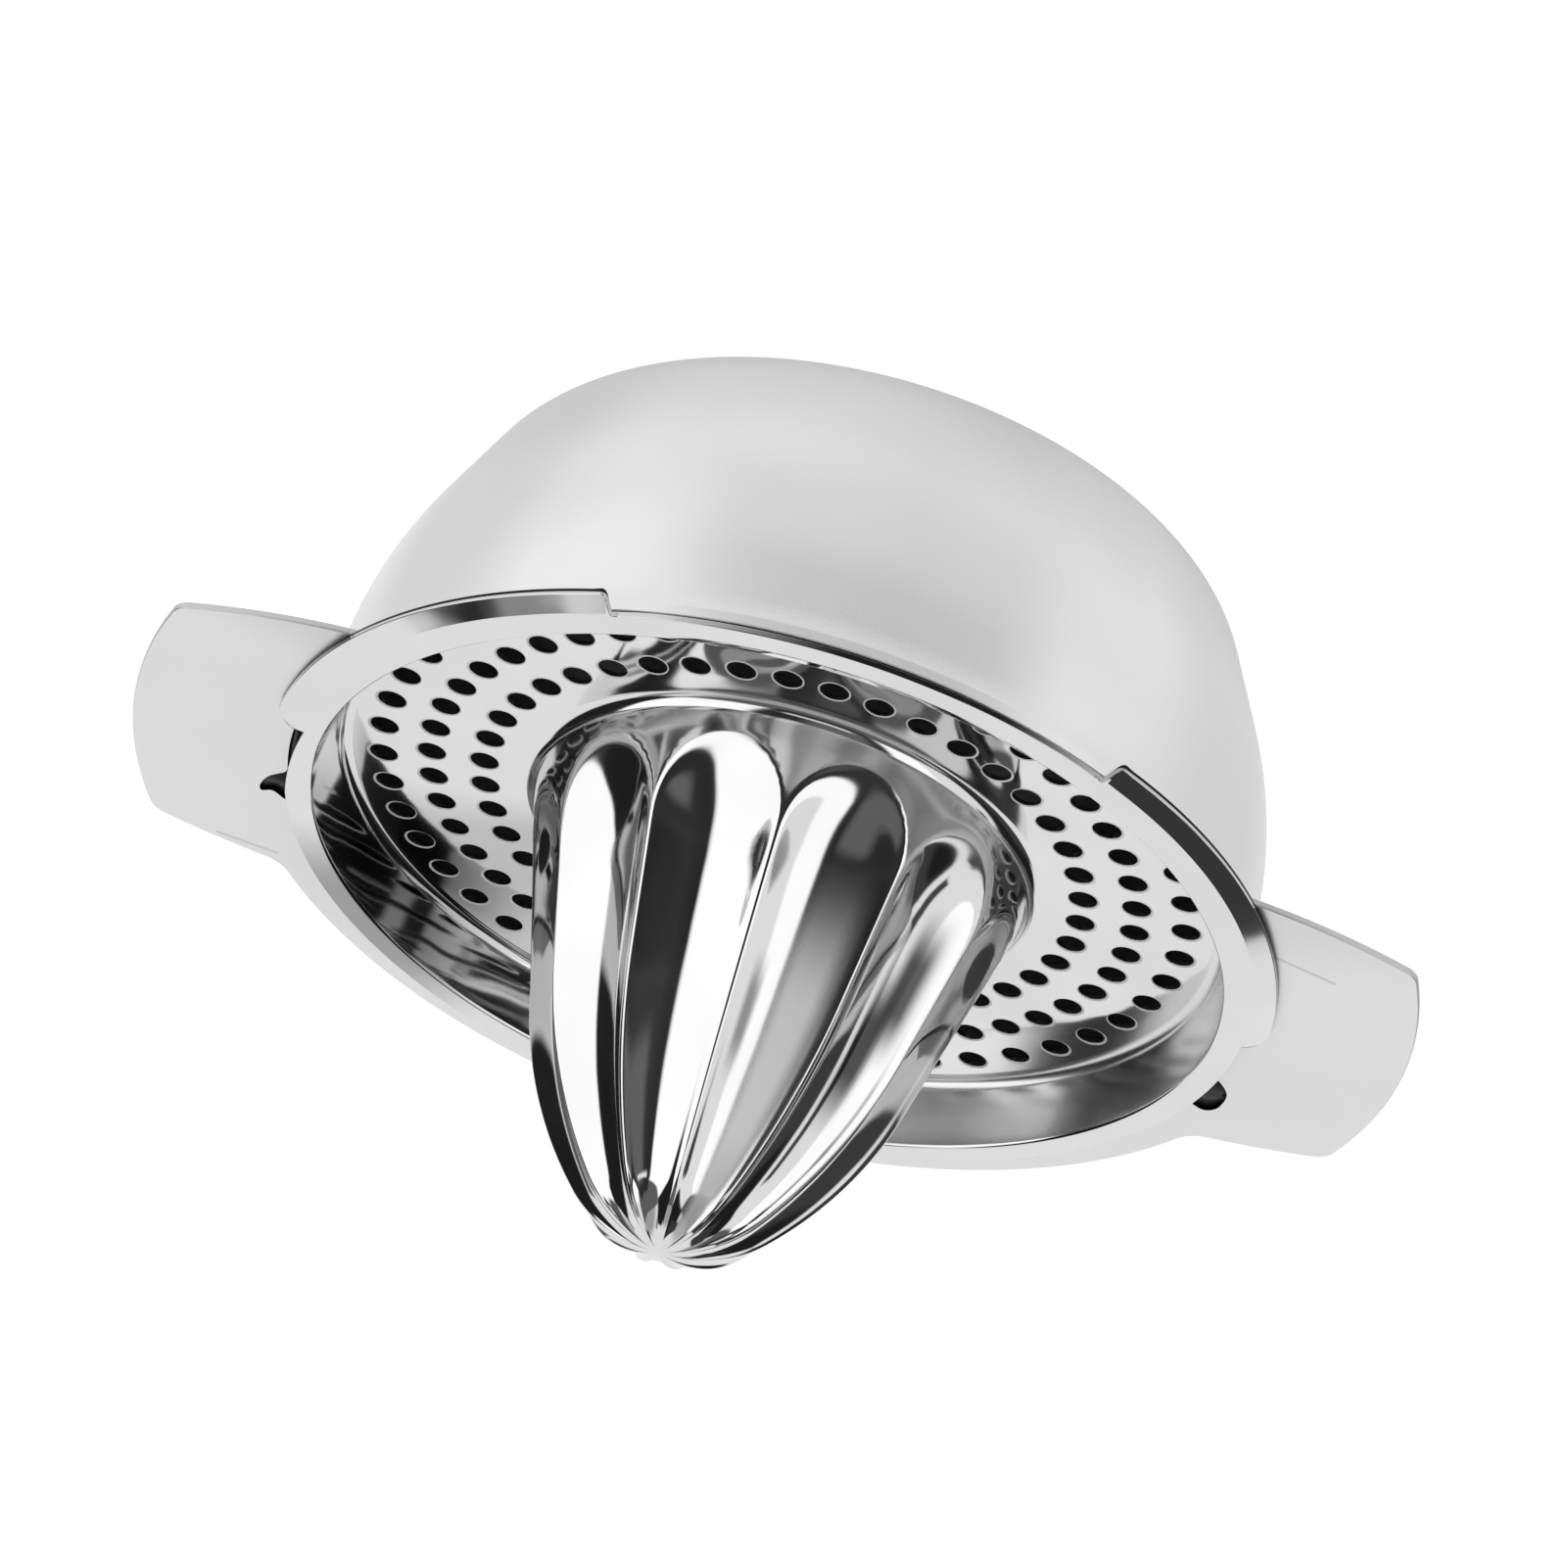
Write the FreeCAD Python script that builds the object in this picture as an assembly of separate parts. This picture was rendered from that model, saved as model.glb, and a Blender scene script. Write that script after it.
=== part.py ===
import FreeCAD, Part
import math
import os

from FreeCAD import Vector

# Citrus squeezer of pressed stainless sheet: a bowl with two flat handles, and a drop-in strainer
# dish with a fluted reamer raised from its middle. Millimetres and degrees, +Z up.
# The origin is the centre of the bowl's flat foot. The handles lie along X, and juice pours to -Y.

# Bowl
bowl_height = 45.2
bowl_radius = 54.3
bowl_sheet = 0.8
foot_inset = 11.0
foot_fillet = 10.9
flank_angle = 23.4
belly_fillet = 48.3
rim_bend = 1.2

# Flange round the bowl's rim, measured out from its upright wall
pour_lip_width = 0.6
seat_flange_width = 3.2
back_flange_width = 7.2
pour_half_angle = 36.0
flange_end_radius = 1.0

# Handles
handle_length = 20.4
handle_tip_width = 44.9
handle_taper = 13.75
handle_tip_radius = 3.0
handle_root_radius = 4.5

# Openings in the handles, beside the strainer's rim
hole_angle = 10.4
hole_length = 6.2
hole_width = 3.8
hole_corner_radius = 1.4
hole_setback = 0.1
slot_width = 1.3
slot_start_angle = -18.0

# Strainer dish
strainer_sheet = 0.7
dish_depth = 8.4
dish_draft = 9.7
dish_floor_fillet = 1.5
dish_rim_fillet = 1.4
rim_overlap = 1.9
dish_clearance = 0.35
seat_clearance = 0.3
seat_turn = -3.9

# Lugs of the strainer's rim, which lie over the handles; angles from the pouring side
lug_width = 2.7
lug_droop = 0.9
lug_bend = 1.0
lug_start_angle = 29.5
lug_end_angle = 86.0
lug_front_radius = 0.6
lug_back_radius = 2.2

# Perforation: distance in from the dish wall, number of holes, angle of the first hole
perforation_rings = ((4.7, 48, 4.55), (10.45, 48, 0.8), (16.65, 42, 6.86))
hole_diameter = 3.3

# Reamer, a pointed dome whose side is a straight taper, a long curve and a round crown
reamer_radius = 29.1
reamer_height = 53.8
reamer_taper = 14.3
reamer_side_radius = 51.1
reamer_crown_radius = 14.6
reamer_root_fillet = 2.0
reamer_skirt = 2.4

# Flutes: hollows between sharp ridges, each with a round arch at its foot
flute_count = 11
flute_sag_ratio = 0.085
ridge_width = 0.7
ridge_share = 0.2
first_ridge_angle = -84.1
arch_bottom_height = 4.4
arch_height = 8.2
arch_overrun = 0.35
flute_top_radius = 1.8
arch_sections = 5
flute_sections = 9

# Drawing aids: how far blanks and cutters run past the sheet, and how near an edge is found
prism_margin = 20.0
cutter_margin = 1.0
edge_search_radius = 0.6

# Sizes that follow from the ones above
foot_corner_radius = bowl_radius - foot_inset
flange_underside = bowl_height - bowl_sheet
strainer_top = bowl_height + seat_clearance + strainer_sheet + lug_droop
strainer_floor = strainer_top - dish_depth
rim_radius = bowl_radius + rim_overlap
lug_radius = rim_radius + lug_width
handle_reach = bowl_radius + handle_length
seat_flange_radius = bowl_radius + seat_flange_width
back_flange_radius = bowl_radius + back_flange_width
opening_inner_radius = bowl_radius + rim_bend + hole_setback


def rz(radius, height):
    """Point of a profile that is turned about Z."""
    return Vector(radius, 0, height)


def polar(radius, angle, height=0.0):
    """Point at an angle in degrees from +X."""
    turn = math.radians(angle)
    return Vector(radius * math.cos(turn), radius * math.sin(turn), height)


def offset_points(points, distance):
    """Corners of an open outline moved sideways to its left by a distance."""
    normals = []
    for start, end in zip(points, points[1:]):
        run = (end - start).normalize()
        normals.append(Vector(-run.z, 0, run.x))
    moved = [points[0] + normals[0] * distance]
    for corner, before, after in zip(points[1:], normals, normals[1:]):
        mitre = before + after
        moved.append(corner + mitre * (distance / (1 + before.dot(after))))
    moved.append(points[-1] + normals[-1] * distance)
    return moved


def rounded_edges(points, radii):
    """Edges along an open outline, with each inner corner rounded to its radius."""
    edges = []
    start = points[0]
    for before, corner, after, radius in zip(points, points[1:], points[2:], radii):
        back = (before - corner).normalize()
        ahead = (after - corner).normalize()
        half_turn = (math.pi - back.getAngle(ahead)) / 2
        reach = radius * math.tan(half_turn)
        middle = (back + ahead).normalize()
        centre = corner + middle * (radius / math.cos(half_turn))
        arc_start = corner + back * reach
        arc_end = corner + ahead * reach
        edges.append(Part.LineSegment(start, arc_start).toShape())
        edges.append(Part.Arc(arc_start, centre - middle * radius, arc_end).toShape())
        start = arc_end
    edges.append(Part.LineSegment(start, points[-1]).toShape())
    return edges


def turned(edges):
    """Solid of revolution about Z of the region that closed edges bound."""
    face = Part.Face(Part.Wire(Part.__sortEdges__(edges)))
    return face.revolve(Vector(0, 0, 0), Vector(0, 0, 1), 360)


def sheet_of_revolution(points, radii, sheet, turns):
    """Turned sheet with the given corners on its right side and its thickness to the left.

    turns holds +1 where the outline turns left at a corner and -1 where it turns right.
    """
    outer = rounded_edges(points, radii)
    inner_points = offset_points(points, sheet)
    inner_radii = [radius - turn * sheet for radius, turn in zip(radii, turns)]
    inner = rounded_edges(inner_points, inner_radii)
    caps = [
        Part.LineSegment(points[0], inner_points[0]).toShape(),
        Part.LineSegment(points[-1], inner_points[-1]).toShape(),
    ]
    return turned(outer + inner + caps)


def prism(faces, low, high):
    """Upright prism on the union of flat faces drawn at height zero."""
    solids = []
    for face in faces:
        raised = face.copy()
        raised.translate(Vector(0, 0, low))
        solids.append(raised.extrude(Vector(0, 0, high - low)))
    joined = solids[0].fuse(solids[1:]) if len(solids) > 1 else solids[0]
    return joined.removeSplitter()


def disc(radius):
    """Flat round face about the axis."""
    return Part.Face(Part.Wire(Part.makeCircle(radius)))


def sector(radius, start, end):
    """Flat pie-shaped face about the axis, from a start to an end angle."""
    middle = (start + end) / 2
    arc = Part.Arc(polar(radius, start), polar(radius, middle), polar(radius, end)).toShape()
    sides = [
        Part.LineSegment(Vector(0, 0, 0), polar(radius, start)).toShape(),
        Part.LineSegment(polar(radius, end), Vector(0, 0, 0)).toShape(),
    ]
    return Part.Face(Part.Wire([sides[0], arc, sides[1]]))


def fillet_upright_edges(solid, radius, places):
    """Round the upright edges of a prism that stand at the given plan positions."""
    chosen = []
    for edge in solid.Edges:
        middle = edge.CenterOfMass
        upright = abs(edge.tangentAt(edge.FirstParameter).z) > 0.99
        near = any(math.hypot(middle.x - p.x, middle.y - p.y) < edge_search_radius for p in places)
        if upright and near:
            chosen.append(edge)
    return solid.makeFillet(radius, chosen) if chosen else solid


def handle_half_width(x):
    """Half the width of a handle at a distance from the axis along X."""
    return handle_tip_width / 2 + (handle_reach - x) * math.tan(math.radians(handle_taper))


def handle_plan(side):
    """Flat tapered handle blank towards one side, with its end on a circle about the axis."""
    inner = foot_corner_radius
    outer = handle_reach + handle_length
    corners = [
        Vector(side * inner, -handle_half_width(inner), 0),
        Vector(side * outer, -handle_half_width(outer), 0),
        Vector(side * outer, handle_half_width(outer), 0),
        Vector(side * inner, handle_half_width(inner), 0),
    ]
    blank = Part.Face(Part.makePolygon(corners + corners[:1]))
    return blank.common(disc(handle_reach))


def handle_circle_crossing(radius):
    """Where a handle's straight edge crosses a circle about the axis, on the +X +Y corner."""
    slope = math.tan(math.radians(handle_taper))
    start = handle_half_width(0)
    steep = 1 + slope ** 2
    x = (start * slope + math.sqrt(steep * radius ** 2 - start ** 2)) / steep
    return Vector(x, handle_half_width(x), 0)


def mirrored_places(point, sides=(1, -1)):
    """Plan positions of a point on both sides of the YZ plane."""
    return [Vector(side * point.x, point.y, 0) for side in sides]


def bowl_plan():
    """Upright prism over the bowl's outline seen from above."""
    pour_start = -90 + pour_half_angle
    pour_end = 270 - pour_half_angle
    faces = [
        disc(bowl_radius + pour_lip_width),
        sector(seat_flange_radius, pour_start, pour_end),
        sector(back_flange_radius, 0, 180),
        handle_plan(1),
        handle_plan(-1),
    ]
    solid = prism(faces, -prism_margin, bowl_height + prism_margin)
    tip = handle_circle_crossing(handle_reach)
    tips = mirrored_places(tip) + mirrored_places(Vector(tip.x, -tip.y, 0))
    solid = fillet_upright_edges(solid, handle_tip_radius, tips)
    back_root = handle_circle_crossing(back_flange_radius)
    solid = fillet_upright_edges(solid, handle_root_radius, mirrored_places(back_root))
    front_root = handle_circle_crossing(seat_flange_radius)
    front_roots = mirrored_places(Vector(front_root.x, -front_root.y, 0))
    solid = fillet_upright_edges(solid, handle_root_radius / 2, front_roots)
    lip_ends = mirrored_places(polar(seat_flange_radius, pour_start))
    return fillet_upright_edges(solid, flange_end_radius, lip_ends)


def ring_opening(inner, outer, start, end, corner_radius):
    """Cutter for an arc-shaped opening, with its two outer corners rounded."""
    low = flange_underside - cutter_margin
    high = bowl_height + cutter_margin
    core = prism([disc(inner)], low - cutter_margin, high + cutter_margin)
    block = prism([sector(outer, start, end)], low, high).cut(core)
    outer_corners = [polar(outer, start), polar(outer, end)]
    return fillet_upright_edges(block, corner_radius, outer_corners)


def handle_openings():
    """Cutters for the opening in each handle, and for the slot that leads to the one at +X."""
    middle_radius = opening_inner_radius + hole_width / 2
    half_angle = math.degrees(hole_length / 2 / middle_radius)
    outer = opening_inner_radius + hole_width
    right = hole_angle + seat_turn
    left = 180 - hole_angle + seat_turn
    cutters = []
    for angle in (right, left):
        start, end = angle - half_angle, angle + half_angle
        cutters.append(ring_opening(opening_inner_radius, outer, start, end, hole_corner_radius))
    slot_outer = opening_inner_radius + slot_width
    slot = ring_opening(opening_inner_radius, slot_outer, slot_start_angle, right, slot_width / 2)
    return cutters + [slot]


def make_bowl():
    """Deep round bowl with a turned-out rim, a back flange and two flat handles."""
    flank_height = (bowl_radius - foot_corner_radius) / math.tan(math.radians(flank_angle))
    outside = [
        rz(0, 0),
        rz(foot_corner_radius, 0),
        rz(bowl_radius, flank_height),
        rz(bowl_radius, flange_underside),
        rz(handle_reach + prism_margin, flange_underside),
    ]
    radii = [foot_fillet, belly_fillet, rim_bend]
    sheet = sheet_of_revolution(outside, radii, bowl_sheet, (1, 1, -1))
    return sheet.common(bowl_plan()).cut(handle_openings())


def lug_plan():
    """Upright prism over the strainer's outline seen from above, before it is turned."""
    faces = [disc(rim_radius)]
    front, back = [], []
    for side in (1, -1):
        angles = sorted((-90 + side * lug_start_angle, -90 + side * lug_end_angle))
        faces.append(sector(lug_radius, *angles))
        front.append(polar(lug_radius, -90 + side * lug_start_angle))
        back.append(polar(lug_radius, -90 + side * lug_end_angle))
    solid = prism(faces, 0, strainer_top + reamer_height + prism_margin)
    solid = fillet_upright_edges(solid, lug_front_radius, front)
    return fillet_upright_edges(solid, lug_back_radius, back)


def make_dish():
    """Shallow dish round the reamer, with its rim and drooping lugs."""
    wall_height = flange_underside - rim_bend
    wall_radius = bowl_radius - bowl_sheet - dish_clearance - strainer_sheet
    draft = math.tan(math.radians(dish_draft))
    floor_radius = wall_radius - (wall_height - strainer_floor) * draft
    top_radius = wall_radius + (strainer_top - wall_height) * draft
    skirt_radius = reamer_radius + reamer_skirt
    upper = [
        rz(lug_radius + cutter_margin, strainer_top - lug_droop * (1 + cutter_margin / lug_width)),
        rz(rim_radius, strainer_top),
        rz(top_radius, strainer_top),
        rz(floor_radius, strainer_floor),
        rz(skirt_radius, strainer_floor),
    ]
    radii = [lug_bend, dish_rim_fillet, dish_floor_fillet]
    sheet = sheet_of_revolution(upper, radii, strainer_sheet, (1, 1, -1))
    dish = sheet.common(lug_plan())
    cutters = []
    for inset, count, first_angle in perforation_rings:
        for index in range(count):
            place = polar(floor_radius - inset, first_angle + index * 360 / count,
                          strainer_floor - strainer_sheet - cutter_margin)
            length = strainer_sheet + 2 * cutter_margin
            cutters.append(Part.makeCylinder(hole_diameter / 2, length, place))
    return dish.cut(cutters)


def reamer_centres():
    """Centres, in radius and height, of the reamer's side curve and of its crown."""
    taper = math.radians(reamer_taper)
    crown = rz(0, reamer_height - reamer_crown_radius)
    along = rz(-math.sin(taper), math.cos(taper))
    start = rz(reamer_radius, 0) - rz(math.cos(taper), math.sin(taper)) * reamer_side_radius
    gap = start - crown
    half = gap.dot(along)
    rest = gap.dot(gap) - (reamer_side_radius - reamer_crown_radius) ** 2
    return start + along * (-half - math.sqrt(half * half - rest)), crown


def reamer_profile(inset):
    """Edges of half the reamer's outline, inset from the outside, closed along the axis."""
    taper = math.radians(reamer_taper)
    side, crown = reamer_centres()
    outward = rz(math.cos(taper), math.sin(taper))
    side_radius = reamer_side_radius - inset
    crown_radius = reamer_crown_radius - inset
    join = crown + (crown - side).normalize() * crown_radius
    side_start = side + outward * side_radius
    side_middle = side + ((join - side).normalize() + outward).normalize() * side_radius
    tip = crown + rz(0, crown_radius)
    crown_middle = crown + ((join - crown).normalize() + rz(0, 1)).normalize() * crown_radius
    corner = rz(reamer_radius - inset / math.cos(taper) + inset * math.tan(taper), -inset)
    skirt = rz(reamer_radius + reamer_skirt, -inset)
    foot = rounded_edges([side_start, corner, skirt], [reamer_root_fillet + inset])
    low = -strainer_sheet - inset
    closing = [
        Part.LineSegment(rz(0, low), tip).toShape(),
        Part.LineSegment(skirt, rz(skirt.x, low)).toShape(),
        Part.LineSegment(rz(skirt.x, low), rz(0, low)).toShape(),
    ]
    curves = [
        Part.Arc(side_start, side_middle, join).toShape(),
        Part.Arc(join, crown_middle, tip).toShape(),
    ]
    return foot + curves + closing


def reamer_radius_at(height, inset=0.0):
    """Radius of the reamer's outline at a height above the dish floor."""
    taper = math.radians(reamer_taper)
    side, crown = reamer_centres()
    side_radius = reamer_side_radius - inset
    crown_radius = reamer_crown_radius - inset
    join = crown + (crown - side).normalize() * crown_radius
    if height >= join.z:
        return math.sqrt(max(crown_radius ** 2 - (height - crown.z) ** 2, 0.0))
    if height >= side.z + math.sin(taper) * side_radius:
        return side.x + math.sqrt(side_radius ** 2 - (height - side.z) ** 2)
    return reamer_radius - inset / math.cos(taper) - height * math.tan(taper)


def reamer_height_at(radius, inset=0.0):
    """Height on the reamer's crown where its outline has a radius."""
    crown_radius = reamer_crown_radius - inset
    return reamer_height - reamer_crown_radius + math.sqrt(crown_radius ** 2 - radius ** 2)


def flute_circle(height, inset):
    """Level circle that a flute follows at a height: its distance from the axis and its radius."""
    arch_top = arch_bottom_height + arch_height
    level = max(height, arch_top)
    radius = reamer_radius_at(level)
    half_pitch = math.pi / flute_count
    ridge = min(ridge_width / 2, ridge_share * radius * math.sin(half_pitch))
    half_width = radius * math.sin(half_pitch) - ridge
    sag = radius * flute_sag_ratio
    circle = (half_width ** 2 + sag ** 2) / (2 * sag)
    floor_radius = radius * math.cos(half_pitch) - sag
    if height < arch_top:
        drop = (arch_top - height) / arch_height
        depth = (radius - floor_radius) * (1 - drop * drop)
        floor_radius = reamer_radius_at(height) - depth
    wall = reamer_radius_at(height) - reamer_radius_at(height, inset)
    return floor_radius + circle, circle + wall


def flute_cutter(inset):
    """Solid that leaves one flute on the reamer, in the XZ plane towards +X."""
    arch_top = arch_bottom_height + arch_height
    top = reamer_height_at(flute_top_radius + inset, inset)
    heights = []
    for index in range(-1, arch_sections):
        share = math.sin(math.pi / 2 * (arch_sections - index) / arch_sections)
        extra = arch_overrun if index < 0 else 0.0
        heights.append(arch_top - arch_height * (share + extra))
    for index in range(flute_sections):
        share = math.sin(math.pi / 2 * index / (flute_sections - 1))
        heights.append(arch_top + (top - arch_top) * share)
    wires = []
    for height in heights:
        distance, circle = flute_circle(height, inset)
        ring = Part.makeCircle(circle, rz(distance, height), Vector(0, 0, 1), 90, 450)
        wires.append(Part.Wire(ring))
    return Part.makeLoft(wires, True)


def fluted_body(inset):
    """Solid inside the reamer's fluted surface, inset by a distance from the outside."""
    body = turned(reamer_profile(inset))
    cutter = flute_cutter(inset)
    pitch = 360 / flute_count
    cutters = []
    for index in range(flute_count):
        copy = cutter.copy()
        angle = first_ridge_angle + (index + 0.5) * pitch
        copy.rotate(Vector(0, 0, 0), Vector(0, 0, 1), angle)
        cutters.append(copy)
    return body.cut(cutters)


def make_reamer():
    """Hollow fluted dome with a short skirt that meets the dish floor."""
    reamer = fluted_body(0).cut(fluted_body(strainer_sheet))
    reamer.translate(Vector(0, 0, strainer_floor))
    return reamer


def make_strainer():
    """Strainer dish and reamer, pressed from one sheet, turned to its place in the bowl."""
    strainer = make_dish().fuse(make_reamer()).removeSplitter()
    strainer.rotate(Vector(0, 0, 0), Vector(0, 0, 1), seat_turn)
    return strainer


os.makedirs("parts", exist_ok=True)
for name, maker in (("bowl", make_bowl), ("strainer", make_strainer)):
    shape = maker()
    print(name, shape.ShapeType, len(shape.Solids), shape.isValid(), round(shape.Volume, 1))
    shape.exportStep("parts/" + name + ".step")
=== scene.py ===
"""Citrus squeezer of pressed stainless steel, dressed for looks.

The bowl with its two handles and the drop-in strainer with its fluted reamer are built as smooth
sheets from the same sizes as the solids. Sizes are millimetres and degrees, and meshes are metres
in the shared frame: +Z up, handles along X, juice pours to -Y, the foot stands at the origin.
"""

from __future__ import annotations

import logging
import math
from dataclasses import dataclass, field
from enum import Enum
from functools import cached_property

import bpy
import numpy as np
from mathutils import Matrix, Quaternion, Vector
from mathutils.geometry import delaunay_2d_cdt

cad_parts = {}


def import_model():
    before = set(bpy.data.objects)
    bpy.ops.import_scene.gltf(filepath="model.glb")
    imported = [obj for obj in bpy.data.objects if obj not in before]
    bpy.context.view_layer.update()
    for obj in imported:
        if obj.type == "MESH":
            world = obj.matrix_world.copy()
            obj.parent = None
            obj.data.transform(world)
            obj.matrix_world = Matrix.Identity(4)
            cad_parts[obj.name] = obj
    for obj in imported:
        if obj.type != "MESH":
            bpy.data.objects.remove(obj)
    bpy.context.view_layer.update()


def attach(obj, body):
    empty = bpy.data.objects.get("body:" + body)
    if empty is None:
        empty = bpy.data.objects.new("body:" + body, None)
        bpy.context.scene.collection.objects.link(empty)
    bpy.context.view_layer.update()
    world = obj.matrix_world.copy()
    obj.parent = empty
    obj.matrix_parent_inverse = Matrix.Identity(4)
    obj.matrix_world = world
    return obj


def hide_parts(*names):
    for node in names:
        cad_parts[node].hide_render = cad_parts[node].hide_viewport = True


LOG = logging.getLogger("citrus_squeezer")
# One millimetre in metres.
MM = 0.001
# Points that round to the same multiple of this length in metres are welded.
WELD_STEP = 1e-7
# Smallest distance that counts, and shortest side of an outline, in millimetres.
LEAST_DISTANCE = 1e-6
SHORTEST_SIDE = 1e-4
# Smallest length that a vector is divided by.
TINY = 1e-12
# Points on each arc of a profile, and along a stretch of it that is divided by its bends.
PROFILE_SAMPLES = 60
SPREAD_SAMPLES = 2000
# Weight of the bends against that of the length in such a division.
BEND_WEIGHT = 1.4


class Slot(Enum):
    """Names of the material slots that the finishes stand for."""

    SATIN = "satin_steel"
    MIRROR = "mirror_steel"


class Side(Enum):
    """Side of a sheet that a surface shows, as a sign on the profile's left-hand normal."""

    LEFT = 1.0
    RIGHT = -1.0


class Mix(Enum):
    """What a Mix node mixes: its data type, the input of its first value and its output."""

    LEVEL = ("FLOAT", 2, 0)
    COLOUR = ("RGBA", 6, 2)


def turn(degrees: float) -> float:
    """Angle in radians."""
    return math.radians(degrees)


def arc_points(centre: np.ndarray, start: np.ndarray, end: np.ndarray, count: int) -> np.ndarray:
    """Points on the short arc about a centre, at even angles, ends included.

    Args:
        centre: Centre of the arc in its plane.
        start: First point.
        end: Last point.
        count: Number of points.

    Returns:
        Array of shape (count, 2).
    """
    first = math.atan2(*(start - centre)[::-1])
    last = math.atan2(*(end - centre)[::-1])
    sweep = (last - first + math.pi) % (2 * math.pi) - math.pi
    angle = first + sweep * np.linspace(0, 1, count)
    radius = np.linalg.norm(start - centre)
    return centre + radius * np.stack([np.cos(angle), np.sin(angle)], -1)


@dataclass
class Profile:
    """Outline in radius and height, sampled along its length with its left-hand normals.

    Attributes:
        points: Samples as (radius, height).
        normals: Unit normals to the left of the direction of travel.
    """

    points: np.ndarray
    normals: np.ndarray

    @classmethod
    def rounded(cls, corners: list[tuple[float, float]], radii: list[float]) -> Profile:
        """Straight runs between corners, joined by tangent arcs.

        Each arc leaves its runs at radius times the tangent of half the turn before the corner.

        Args:
            corners: Corner points as (radius, height).
            radii: Radius of the arc at each inner corner.

        Returns:
            The sampled outline, with every arc evenly divided.
        """
        path = np.array(corners, float)
        runs = np.diff(path, axis=0)
        runs /= np.linalg.norm(runs, axis=1)[:, None]
        pieces, tangents = [path[:1]], [runs[:1]]
        for corner, before, after, radius in zip(path[1:-1], runs, runs[1:], radii):
            half = math.acos(np.clip(before @ after, -1, 1)) / 2
            reach = radius * math.tan(half)
            side = np.sign(before[0] * after[1] - before[1] * after[0])
            start, end = corner - before * reach, corner + after * reach
            centre = start + side * radius * np.array([-before[1], before[0]])
            arc = arc_points(centre, start, end, PROFILE_SAMPLES)
            out = (arc - centre) * side / radius
            pieces.append(arc)
            tangents.append(np.stack([-out[:, 1], out[:, 0]], -1))
        pieces.append(path[-1:])
        tangents.append(runs[-1:])
        way = np.concatenate(tangents)
        return cls(np.concatenate(pieces), np.stack([-way[:, 1], way[:, 0]], -1))

    @property
    def length(self) -> np.ndarray:
        """Distance travelled at each sample."""
        steps = np.linalg.norm(np.diff(self.points, axis=0), axis=1)
        return np.concatenate([[0.0], np.cumsum(steps)])

    def at(self, distance: np.ndarray) -> tuple[np.ndarray, np.ndarray]:
        """Points and left-hand normals at distances along the outline.

        Args:
            distance: Distances of any shape.

        Returns:
            Two arrays with one more axis, of points and of unit normals.
        """
        length = self.length
        place = np.stack([np.interp(distance, length, self.points[:, k]) for k in (0, 1)], -1)
        lean = np.stack([np.interp(distance, length, self.normals[:, k]) for k in (0, 1)], -1)
        return place, lean / np.linalg.norm(lean, axis=-1, keepdims=True)

    def distance_at_radius(self, radius: np.ndarray, beyond: float) -> np.ndarray:
        """Distance along the outline at which it has a radius.

        Args:
            radius: Radii that are looked for.
            beyond: Distance beyond which the outline's radius only rises. What comes before
                isn't searched.

        Returns:
            Distances of the same shape as the radii.
        """
        length = self.length
        tail = length >= beyond
        return np.interp(radius, self.points[tail, 0], length[tail])

    def offset(self, depth: float) -> Profile:
        """The same outline moved sideways to its left by a depth."""
        return Profile(self.points + self.normals * depth, self.normals)


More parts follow.
